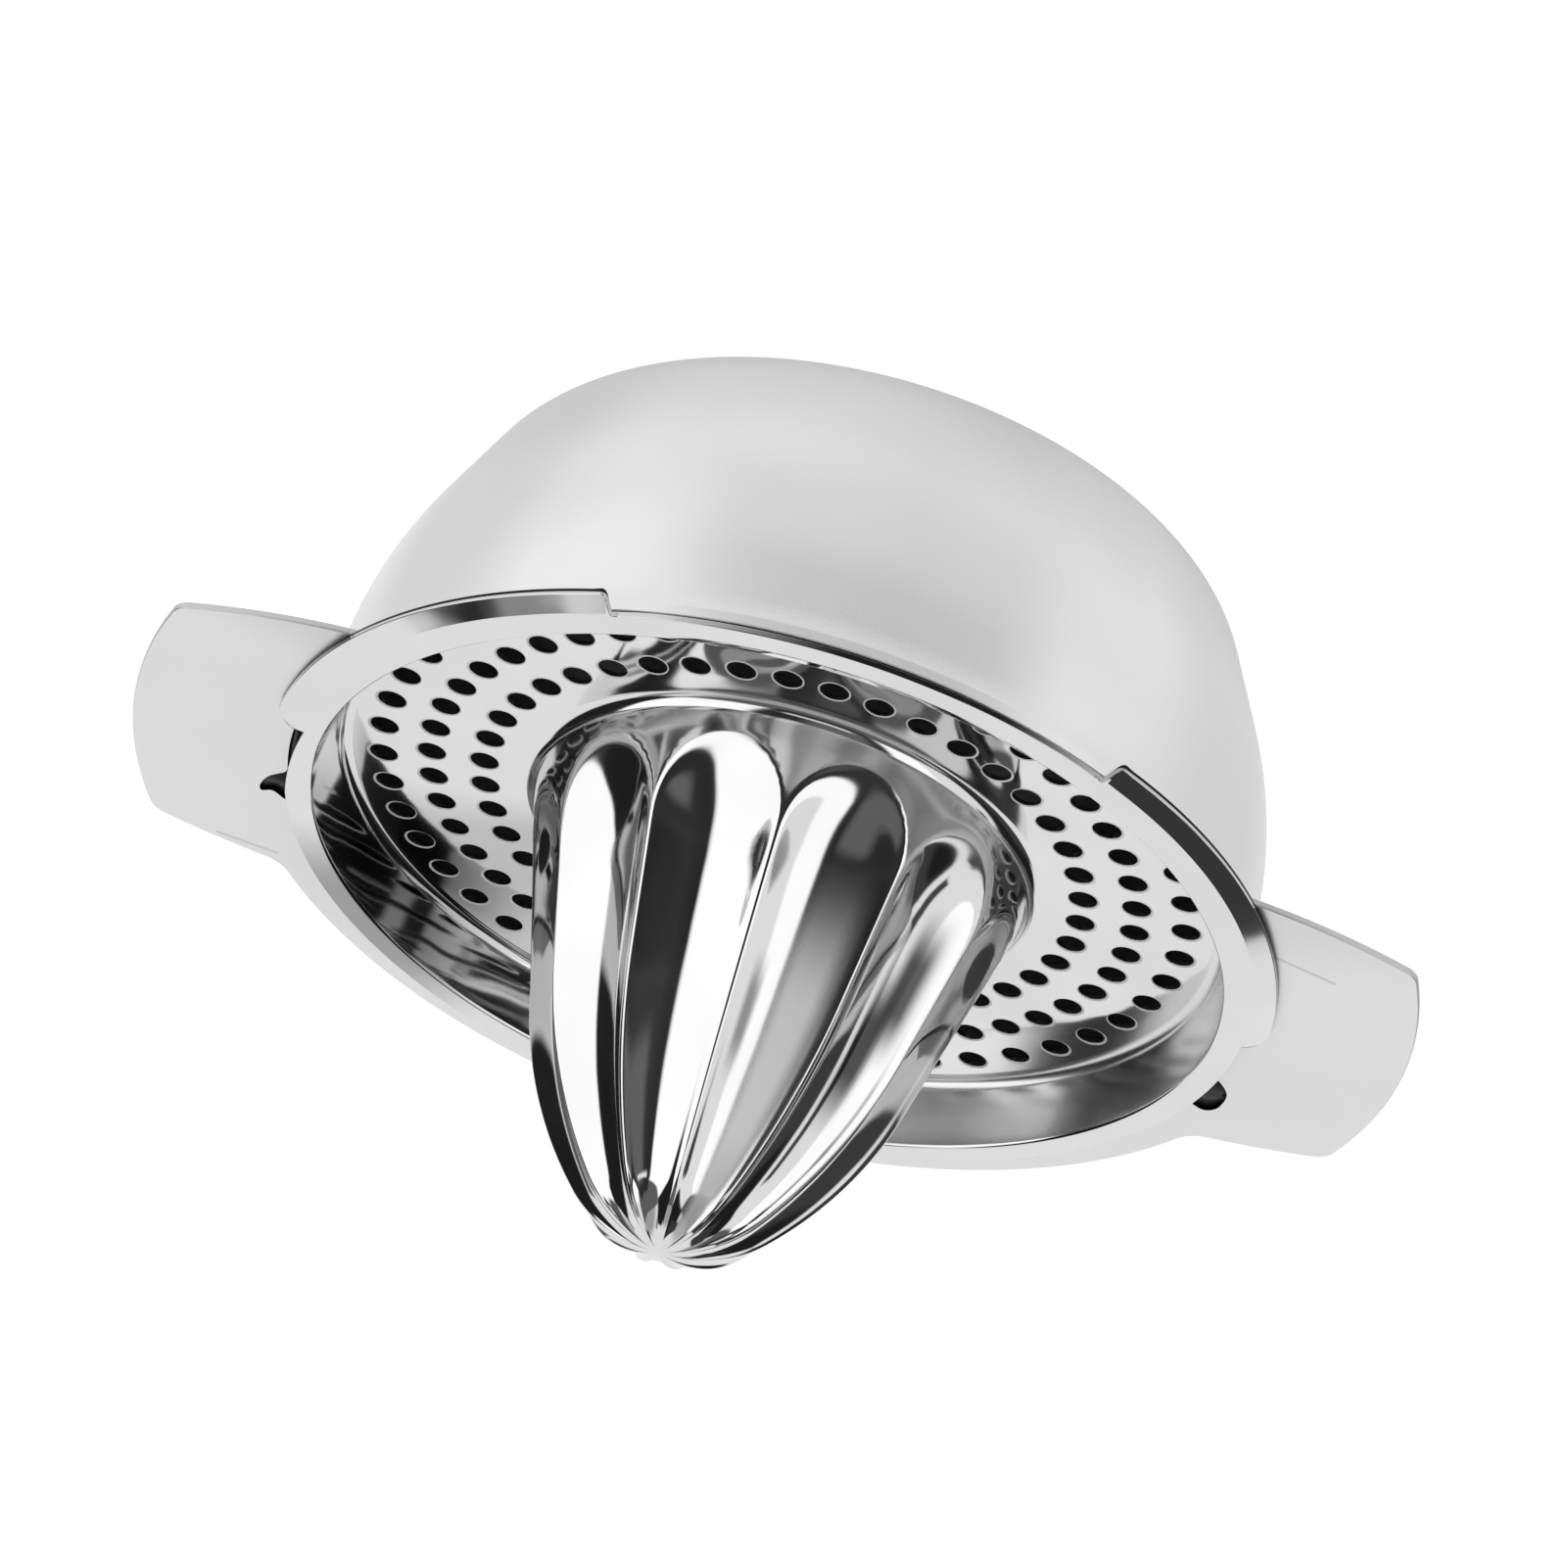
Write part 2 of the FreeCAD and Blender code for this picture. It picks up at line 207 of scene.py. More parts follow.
class Shell:
    """Gathers surfaces with their own normals and welds them into one closed mesh."""

    def __init__(self) -> None:
        """Starts empty."""
        self.points: list[np.ndarray] = []
        self.normals: list[np.ndarray] = []
        self.faces: list[np.ndarray] = []
        self.count = 0

    def add(self, points: np.ndarray, normals: np.ndarray, faces: np.ndarray) -> None:
        """Adds a surface.

        Args:
            points: Vertices in millimetres, shape (n, 3).
            normals: Their outward normals, shape (n, 3).
            faces: Corners of four-sided faces, shape (m, 4). A triangle repeats its last corner.
        """
        self.points.append(points.reshape(-1, 3))
        self.normals.append(normals.reshape(-1, 3))
        self.faces.append(faces + self.count)
        self.count += len(self.points[-1])

    def add_grid(self, points: np.ndarray, normals: np.ndarray) -> None:
        """Adds a grid whose last column joins its first, with faces that agree with its normals.

        Args:
            points: Shape (rows, columns, 3).
            normals: Shape (rows, columns, 3).
        """
        rows, columns = points.shape[:2]
        index = np.arange(rows * columns).reshape(rows, columns)
        right = np.roll(index, -1, axis=1)
        faces = np.stack([index[:-1], right[:-1], right[1:], index[1:]], -1).reshape(-1, 4)
        flat = points.reshape(-1, 3)
        across = flat[faces[:, 2]] - flat[faces[:, 0]]
        along = flat[faces[:, 3]] - flat[faces[:, 1]]
        facing = np.einsum("ij,ij->i", np.cross(across, along), normals.reshape(-1, 3)[faces[:, 0]])
        if facing.sum() < 0:
            faces = faces[:, ::-1]
        self.add(points, normals, faces)

    def add_flat(self, loops: list[np.ndarray], height: float, up: bool) -> None:
        """Adds a level region bounded by loops: the first is its outside, the rest are holes.

        A constrained Delaunay triangulation fills the region, and triangles whose middle lies in
        a hole or outside are dropped.

        Args:
            loops: Closed outlines in plan, each of shape (n, 2).
            height: Height of the region.
            up: Whether the region faces up.
        """
        starts = np.cumsum([0] + [len(loop) for loop in loops])
        corners = np.concatenate(loops)
        edges = []
        for start, loop in zip(starts, loops):
            own = np.arange(len(loop))
            edges.append(np.stack([own, np.roll(own, -1)], -1) + start)
        flat = [Vector(corner) for corner in corners.tolist()]
        found = delaunay_2d_cdt(flat, np.concatenate(edges).tolist(), [], 0, LEAST_DISTANCE,
                                False)
        plan = np.array([tuple(point) for point in found[0]])
        faces = np.array([face for face in found[2] if len(face) == 3])
        middle = plan[faces].mean(axis=1)
        inside = inside_loop(middle, loops[0])
        for loop in loops[1:]:
            inside &= ~inside_loop(middle, loop)
        faces = faces[inside]
        if not up:
            faces = faces[:, ::-1]
        points = np.column_stack([plan, np.full(len(plan), height)])
        normals = np.zeros_like(points)
        normals[:, 2] = 1.0 if up else -1.0
        self.add(points, normals, np.column_stack([faces, faces[:, 2]]))

    def turn_about_axis(self, angle: float) -> None:
        """Turns everything added so far about Z.

        Args:
            angle: Angle in radians, anticlockwise.
        """
        cos, sin = math.cos(angle), math.sin(angle)
        spin = np.array([[cos, sin, 0], [-sin, cos, 0], [0, 0, 1]])
        self.points = [part @ spin for part in self.points]
        self.normals = [part @ spin for part in self.normals]

    def mesh(self, name: str) -> bpy.types.Object:
        """Welds what was added and makes a smooth object in metres.

        Args:
            name: Name of the object and its mesh.

        Returns:
            The object, at the origin.
        """
        points = np.concatenate(self.points) * MM
        normals = np.concatenate(self.normals)
        faces = np.concatenate(self.faces)
        keys = np.round(points / WELD_STEP).astype(np.int64)
        _, first, welded = np.unique(keys, axis=0, return_index=True, return_inverse=True)
        welded = welded.reshape(-1)
        shared = np.zeros((len(first), 3))
        np.add.at(shared, welded, normals)
        faces = welded[faces]
        used = [f for f in (tuple(dict.fromkeys(face)) for face in faces.tolist()) if len(f) > 2]
        mesh = bpy.data.meshes.new(name)
        mesh.from_pydata(points[first].tolist(), [], used)
        mesh.validate(clean_customdata=False)
        size = np.linalg.norm(shared, axis=1, keepdims=True)
        shared = np.where(size > 0, shared / np.maximum(size, TINY), (0.0, 0.0, 1.0))
        if len(mesh.vertices) == len(shared):
            mesh.normals_split_custom_set_from_vertices(shared.tolist())
        mesh.update()
        made = bpy.data.objects.new(name, mesh)
        bpy.context.collection.objects.link(made)
        return made


def inside_loop(places: np.ndarray, loop: np.ndarray) -> np.ndarray:
    """Which places lie inside a closed outline, by counting the edges crossed towards +X.

    Args:
        places: Points in plan, shape (n, 2).
        loop: Outline, shape (m, 2).

    Returns:
        Boolean array of length n.
    """
    start, end = loop, np.roll(loop, -1, axis=0)
    inside = np.zeros(len(places), bool)
    box = (places >= loop.min(0)).all(1) & (places <= loop.max(0)).all(1)
    some = places[box]
    if len(some):
        x, y = some[:, :1], some[:, 1:]
        spans = (start[:, 1] > y) != (end[:, 1] > y)
        rise = np.where(end[:, 1] == start[:, 1], 1.0, end[:, 1] - start[:, 1])
        cross = start[:, 0] + (y - start[:, 1]) / rise * (end[:, 0] - start[:, 0])
        inside[box] = (spans & (x < cross)).sum(1) % 2 == 1
    return inside


def revolve(section: np.ndarray, angles: np.ndarray) -> np.ndarray:
    """Turns (radius, height) pairs about Z to the given angles.

    Args:
        section: Shape (rows, 2), or (rows, columns, 2) where it changes with the angle.
        angles: Angles in radians, one per column.

    Returns:
        Array of shape (rows, columns, 3).
    """
    if section.ndim == 2:
        section = np.repeat(section[:, None], len(angles), axis=1)
    radius, height = section[..., 0], section[..., 1]
    return np.stack([radius * np.cos(angles), radius * np.sin(angles), height], -1)


def plan_normals(loop: np.ndarray) -> np.ndarray:
    """Normals in plan of a closed outline, across the line between each point's neighbours.

    Args:
        loop: Outline, shape (n, 2).

    Returns:
        Unit normals of the same shape. They point outwards where the outline runs anticlockwise.
    """
    way = np.roll(loop, -1, axis=0) - np.roll(loop, 1, axis=0)
    way /= np.maximum(np.linalg.norm(way, axis=1, keepdims=True), TINY)
    return np.stack([way[:, 1], -way[:, 0]], -1)


def edge_band(outer: np.ndarray, normals: np.ndarray, soften: np.ndarray | float,
              top: np.ndarray | float, bottom: np.ndarray | float, steps: int,
              facing: np.ndarray | None = None,
              below: np.ndarray | None = None) -> tuple[np.ndarray, np.ndarray]:
    """Rounded edge of a sheet: a quarter round at the top, an upright band, a quarter round below.

    Row k of a quarter round stands at angle a from 0 to 90 degrees: moved in by the rounding
    times (1 - sin a) and down from the top by the rounding times (1 - cos a).

    Args:
        outer: The edge in plan, shape (n, 2).
        normals: Its outward normals in plan.
        soften: Radius of the rounding, for all points or for each.
        top: Height of the sheet's upper side, for all points or for each.
        bottom: Height of its lower side, for all points or for each.
        steps: Divisions of each quarter round.
        facing: Normals of the sheet's upper side at each point, shape (n, 3). Straight up if
            left out.
        below: Normals of the sheet's lower side at each point, the other way if left out.

    Returns:
        Points and normals of shape (rows, n, 3), from the top down.
    """
    soften, top, bottom = (np.broadcast_to(value, len(outer)) for value in (soften, top, bottom))
    bend = np.linspace(0, math.pi / 2, steps + 1)[:, None]
    drop = soften * (1 - np.cos(bend))
    inset = (soften * (1 - np.sin(bend)))[..., None] * normals
    plan = outer - inset
    upper = np.concatenate([plan, (top - drop)[..., None]], -1)
    lower = np.concatenate([plan, (bottom + drop)[..., None]], -1)[::-1]
    if facing is None:
        facing = np.tile((0.0, 0.0, 1.0), (len(outer), 1))
    side = np.sin(bend)[..., None] * np.column_stack([normals, np.zeros(len(outer))])
    below = -facing if below is None else below
    tilt, under = np.cos(bend)[..., None] * facing, np.cos(bend)[..., None] * below
    return np.concatenate([upper, lower]), np.concatenate([side + tilt, (side + under)[::-1]])


def polar_points(radius: np.ndarray | float, angle: np.ndarray) -> np.ndarray:
    """Points in plan at radii and angles in radians."""
    return np.stack([radius * np.cos(angle), radius * np.sin(angle)], -1)


def circle_arc(radius: float, start: float, end: float, count: int) -> np.ndarray:
    """Even points on a circle about the axis, from a start to an end angle in radians."""
    return polar_points(radius, np.linspace(start, end, count))


def loop_angles(loop: np.ndarray) -> np.ndarray:
    """Angles about the axis of an outline's points, in radians and without a jump."""
    return np.unwrap(np.arctan2(loop[:, 1], loop[:, 0]))


def dense_loop(loop: np.ndarray) -> np.ndarray:
    """The same closed outline without repeated points."""
    step = np.linalg.norm(loop - np.roll(loop, 1, axis=0), axis=1)
    return loop[step > SHORTEST_SIDE]


def profile_fold(profile: Profile, radius: float) -> float:
    """Distance along a profile at which it first reaches a radius."""
    index = int(np.argmax(profile.points[:, 0] >= radius))
    return float(profile.length[index])


def spread_between(profile: Profile, start: float, end: float, count: int) -> np.ndarray:
    """Distances between two others, closer together where the profile turns.

    Each step of the profile counts its own length and how far its direction turns, and the
    distances are even in the sum of the two.

    Args:
        profile: The profile.
        start: First distance.
        end: Last distance.
        count: Number of distances.

    Returns:
        Distances, ends included.
    """
    fine = np.linspace(start, end, SPREAD_SAMPLES)
    _, lean = profile.at(fine)
    bend = np.linalg.norm(np.diff(lean, axis=0), axis=1)
    weight = np.diff(fine) / (end - start) + bend / max(bend.sum(), TINY) * BEND_WEIGHT
    total = np.concatenate([[0.0], np.cumsum(weight)])
    return np.interp(np.linspace(0, total[-1], count), total, fine)


@dataclass
class Bowl:
    """Deep bowl pressed with its rim, back flange and two flat handles from one sheet.

    Attributes:
        plain_opening: Corners of the opening at -X, as (radius, angle).
        slotted_opening: Corners of the opening at +X, which has a slot along the rim.
        opening_step: Longest run between an opening's points, in degrees.
        corner_cuts: How many times all its corners are cut.
        corner_cut: Share of each side that such a cut takes at either end.
        shade_web_depth: Depth of the dark web in each opening below the sheet's upper side.
        The web is a dark sheet that paints shade into the opening.
        web: Thickness of that web.
        seat_turn: Angle by which the strainer sits turned in the bowl.
        step_lean: Angle over which the flange steps out at each side of the pouring lip.
        fade: Distance from a crossing of the rim's bend at which its edge's rounding starts, and
            over which it grows.
        column_gap: Least angle between the outline's own columns and the even ones.
        foot_ring: Radius of the innermost rows of the foot.
        bend_margin: Distance inside the wall's inner radius at which the rim's rows start.
        foot_rows: Rows inside the foot ring.
        wall_rows: Rows from the foot ring to the rim's rows.
        bend_rows: Rows over the upper wall and the rim's bend to the edge.
        edge_steps: Divisions of each quarter round of the outer edge.
        hole_steps: Divisions of each quarter round of the openings' edges.
        handle_end_points: Points on half a handle's end, the first of the counts that divide the
            outline's arcs.
    """

    height: float = 45.2
    radius: float = 54.3
    sheet: float = 0.8
    foot_inset: float = 11.0
    foot_fillet: float = 10.9
    flank_angle: float = 23.4
    belly_fillet: float = 48.3
    rim_bend: float = 0.9
    pour_lip: float = 0.165
    seat_flange: float = 3.2
    back_flange: float = 7.2
    pour_half_angle: float = 37.5
    flange_end_radius: float = 1.0
    handle_length: float = 20.4
    handle_tip_width: float = 44.9
    handle_taper: float = 13.75
    handle_tip_radius: float = 3.0
    front_root_radius: float = 2.25
    back_root_radius: float = 4.5
    plain_opening: tuple[tuple[float, float], ...] = (
        (55.35, 166.9), (56.6, 167.7), (57.3, 167.2), (58.4, 166.3), (59.3, 165.2), (59.75, 164.0),
        (60.0, 162.6), (60.1, 161.4), (59.7, 160.2), (58.9, 159.7), (57.8, 159.9), (55.35, 160.6))
    slotted_opening: tuple[tuple[float, float], ...] = (
        (55.3, -12.0), (55.9, -12.3), (56.15, -11.0), (56.3, -3.0), (56.35, 5.2), (56.6, 6.0),
        (57.6, 6.8), (58.7, 7.7), (59.6, 9.2), (60.1, 10.6), (59.9, 11.3), (59.3, 11.0),
        (58.5, 10.7), (57.9, 11.3), (57.3, 12.2), (56.5, 12.3), (55.6, 11.9), (55.3, 10.0),
        (55.3, 2.0), (55.3, -5.0))
    opening_step: float = 0.8
    corner_cuts: int = 2
    corner_cut: float = 0.25
    shade_web_depth: float = 0.35
    web: float = 0.08
    seat_turn: float = -3.9
    edge_softness: float = 0.16
    hole_softness: float = 0.04
    step_lean: float = 0.03
    fade: tuple[float, float] = (0.3, 0.4)
    column_gap: float = 0.4
    foot_ring: float = 1.0
    bend_margin: float = 0.5
    foot_rows: int = 3
    wall_rows: int = 64
    bend_rows: int = 8
    edge_steps: int = 3
    hole_steps: int = 2
    handle_end_points: int = 18
    fillet_points: int = 12
    corner_points: int = 8
    lip_points: int = 37
    seat_points: int = 30
    back_points: int = 60

    @property
    def reach(self) -> float:
        """Distance from the axis to a handle's end."""
        return self.radius + self.handle_length

    @property
    def bend_radius(self) -> float:
        """Distance from the axis at which the rim's bend becomes level."""
        return self.radius + self.rim_bend

    def profile(self) -> Profile:
        """Outside of the sheet in section.

        Returns:
            Profile from the foot's centre to beyond the handles.
        """
        corner = self.radius - self.foot_inset
        flank = self.foot_inset / math.tan(turn(self.flank_angle))
        under = self.height - self.sheet
        corners = [(0, 0), (corner, 0), (self.radius, flank), (self.radius, under),
                   (self.reach + self.handle_length, under)]
        return Profile.rounded(corners, [self.foot_fillet, self.belly_fillet, self.rim_bend])

    def handle_side(self, root_circle: float, root_radius: float) -> np.ndarray:
        """Upper half of the handle at +X in plan, from its end's middle to the flange behind it.

        A fillet that touches a straight side and a circle about the axis has its centre where the
        line moved by the fillet's radius meets the circle grown or shrunk by it.

        Args:
            root_circle: Radius of the flange that the side runs into.
            root_radius: Radius of the hollow fillet there.

        Returns:
            Points, shape (n, 2), anticlockwise.
        """
        lean = turn(self.handle_taper)
        along = np.array([math.cos(lean), -math.sin(lean)])
        out = np.array([math.sin(lean), math.cos(lean)])
        line = out @ np.array([self.reach, self.handle_tip_width / 2])

        def centre(offset: float, circle: float) -> np.ndarray:
            """Centre of a fillet at an offset from the line and on a circle."""
            return out * (line + offset) + along * math.sqrt(circle ** 2 - (line + offset) ** 2)

        tip = centre(-self.handle_tip_radius, self.reach - self.handle_tip_radius)
        tip_start = tip * self.reach / (self.reach - self.handle_tip_radius)
        root = centre(root_radius, root_circle + root_radius)
        root_end = root * root_circle / (root_circle + root_radius)
        end_angle = math.atan2(tip_start[1], tip_start[0])
        return np.concatenate([
            circle_arc(self.reach, 0.0, end_angle, self.handle_end_points)[:-1],
            arc_points(tip, tip_start, tip + out * self.handle_tip_radius, self.fillet_points),
            arc_points(root, root - out * root_radius, root_end, self.fillet_points),
        ])

    def outline(self) -> np.ndarray:
        """Outline of the whole rim in plan.

        The right half runs over the pouring lip, the flange's rounded corner, the seat flange,
        the handle and the back flange, and the left half mirrors it.

        Returns:
            Points, shape (n, 2), anticlockwise from the middle of the pouring side.
        """
        seat = self.radius + self.seat_flange
        lip = self.radius + self.pour_lip
        back = self.radius + self.back_flange
        start = turn(self.pour_half_angle - 90)
        lean = turn(self.step_lean)
        corner = seat - self.flange_end_radius
        bend = np.linspace(0, math.pi / 2, self.corner_points)
        corner_radius = corner + self.flange_end_radius * np.sin(bend)
        corner_angle = start + lean + self.flange_end_radius * (1 - np.cos(bend)) / seat
        front = self.handle_side(seat, self.front_root_radius) * (1, -1)
        rear = self.handle_side(back, self.back_root_radius)
        front_angle = math.atan2(front[-1, 1], front[-1, 0])
        rear_angle = math.atan2(rear[-1, 1], rear[-1, 0])
        half = np.concatenate([
            circle_arc(lip, -math.pi / 2, start, self.lip_points),
            polar_points(corner_radius, corner_angle),
            circle_arc(seat, corner_angle[-1], front_angle, self.seat_points)[1:-1],
            front[::-1],
            rear[1:],
            circle_arc(back, rear_angle, math.pi / 2, self.back_points)[1:],
        ])
        return np.concatenate([half, (half * (-1, 1))[::-1][1:-1]])

    def openings(self) -> list[np.ndarray]:
        """Outlines of the two openings beside the strainer's rim.

        Each is a closed row of (radius, angle) corners, drawn as straight runs along the circle
        and rounded by cutting off every corner, twice.

        Returns:
            The two outlines, clockwise.
        """
        found = []
        for corners in (self.plain_opening, self.slotted_opening):
            polar = np.array(corners)
            closed = np.concatenate([polar, polar[:1]])
            fine = [np.linspace(a, b, max(2, int(abs(b[1] - a[1]) / self.opening_step) + 1))[:-1]
                    for a, b in zip(closed, closed[1:])]
            polar = np.concatenate(fine)
            loop = polar_points(polar[:, 0], np.radians(polar[:, 1]))
            cut, rest = self.corner_cut, 1 - self.corner_cut
            for _ in range(self.corner_cuts):
                after = np.roll(loop, -1, axis=0)
                loop = np.stack([rest * loop + cut * after, cut * loop + rest * after], 1)
                loop = loop.reshape(-1, 2)
            after = np.roll(loop, -1, axis=0)
            area = np.sum(loop[:, 0] * after[:, 1] - loop[:, 1] * after[:, 0])
            found.append(dense_loop(loop[::-1] if area > 0 else loop))
        return found

    def columns(self, outline: np.ndarray) -> np.ndarray:
        """Angles of the mesh's columns: the outline's own corners and an even spread.

        Args:
            outline: Outline of the rim.

        Returns:
            Angles in radians, rising.
        """
        even = np.arange(-90, 270, 1.0) + 0.5
        own = np.degrees(loop_angles(outline))
        crossing = self.crossings(outline)
        angles = np.unique(np.round(np.concatenate([own, crossing]), 6))
        gap = np.abs(even[:, None] - angles).min(1)
        return np.radians(np.sort(np.concatenate([angles, even[gap > self.column_gap]])))

    def crossings(self, outline: np.ndarray) -> np.ndarray:
        """Where the outline crosses the circle on which the rim's bend becomes level.

        Args:
            outline: Outline of the rim.

        Returns:
            Angles in degrees.
        """
        angle = np.degrees(loop_angles(outline))
        level = np.hypot(*outline.T) - self.bend_radius
        where = np.nonzero(level[:-1] * level[1:] < 0)[0]
        share = level[where] / (level[where] - level[where + 1])
        return angle[where] + share * (angle[where + 1] - angle[where])

    def build(self) -> bpy.types.Object:
        """Makes the bowl as one closed sheet.

        The turned wall and bend are rows of a profile on columns of angles. Where the outline
        stays inside the bend's end, the last rows are drawn in to it. The level part beyond is a
        flat region with its openings, and a rounded edge closes the sheet all round.

        Returns:
            The bowl's object.
        """
        shell = Shell()
        outline = self.outline()
        angles = self.columns(outline)
        edge_radius = np.interp(angles, loop_angles(outline), np.hypot(*outline.T),
                                period=2 * math.pi)
        edge = polar_points(edge_radius, angles)
        edge_normal = plan_normals(edge)
        crossings = np.radians(self.crossings(outline))
        gap = np.abs(angles[:, None] - crossings).min(1) * self.radius
        fade_start, fade_length = self.fade
        soften = self.edge_softness * np.clip((gap - fade_start) / fade_length, 0, 1)
        level = edge_radius >= self.bend_radius - LEAST_DISTANCE
        inset = edge - edge_normal * soften[:, None]

        lower = self.profile()
        heights, facings = [], []
        for profile, facing in ((lower.offset(self.sheet), Side.LEFT), (lower, Side.RIGHT)):
            bend_start = profile_fold(profile, self.radius - self.sheet - self.bend_margin)
            stop = profile.distance_at_radius(np.minimum(edge_radius - soften, self.bend_radius),
                                              bend_start)
            place, lean = profile.at(self.wall_distances(profile, bend_start, stop))
            points = revolve(place, angles)
            points[-1, level, :2] = polar_points(self.bend_radius, angles[level])
            normals = revolve(lean, angles) * facing.value
            heights.append(points[-1, :, 2].copy())
            facings.append(normals[-1])
            points[-1, ~level, :2] = inset[~level]
            shell.add_grid(points, normals)
        top, bottom = heights
        shell.add_grid(*edge_band(edge, edge_normal, soften, top, bottom, self.edge_steps,
                                  *facings))

        first = np.nonzero(level & ~np.roll(level, 1))[0][0]
        order = (first + np.arange(level.sum())) % len(level)
        rim = polar_points(self.bend_radius, angles[order])
        plate = np.concatenate([inset[order], rim[-2:0:-1]])
        plate[0], plate[len(order) - 1] = rim[0], rim[-1]
        cut = self.add_openings(shell)
        shell.add_flat([plate, *cut], self.height, True)
        shell.add_flat([plate, *cut], self.height - self.sheet, False)
        return shell.mesh("bowl_sheet")

    def wall_distances(self, profile: Profile, bend_start: float, stop: np.ndarray) -> np.ndarray:
        """Distances of the turned rows along a side's profile.

        Args:
            profile: Profile of the side.
            bend_start: Distance at which the rim's bend starts.
            stop: Distance at which each column ends.

        Returns:
            Array of shape (rows, columns).
        """
        foot = profile_fold(profile, self.foot_ring)
        body = np.concatenate([
            np.linspace(0, foot, self.foot_rows + 1)[:-1],
            spread_between(profile, foot, bend_start, self.wall_rows),
        ])
        share = np.linspace(0, 1, self.bend_rows + 1)[1:, None]
        return np.concatenate([
            np.repeat(body[:, None], len(stop), axis=1),
            bend_start + share * (stop - bend_start),
        ])

    def add_openings(self, shell: Shell) -> list[np.ndarray]:
        """Adds the edges of the two openings, and a thin dark web that paints shade into each.

        Args:
            shell: Shell that gets the surfaces.

        Returns:
            Outlines that the level part leaves free, clockwise.
        """
        holes = self.openings()
        for hole in holes:
            shell.add_grid(*edge_band(hole, plan_normals(hole), self.hole_softness, self.height,
                                      self.height - self.sheet, self.hole_steps))
        # Painted shade: a thin dark web closes each opening a little below the upper side.
        top = self.height - self.shade_web_depth
        bottom = top - self.web
        for hole in holes:
            shell.add_flat([hole[::-1]], top, True)
            shell.add_flat([hole[::-1]], bottom, False)
            shell.add_grid(*edge_band(hole, -plan_normals(hole), 0.0, top, bottom, 1))
        return [hole - plan_normals(hole) * self.hole_softness for hole in holes]


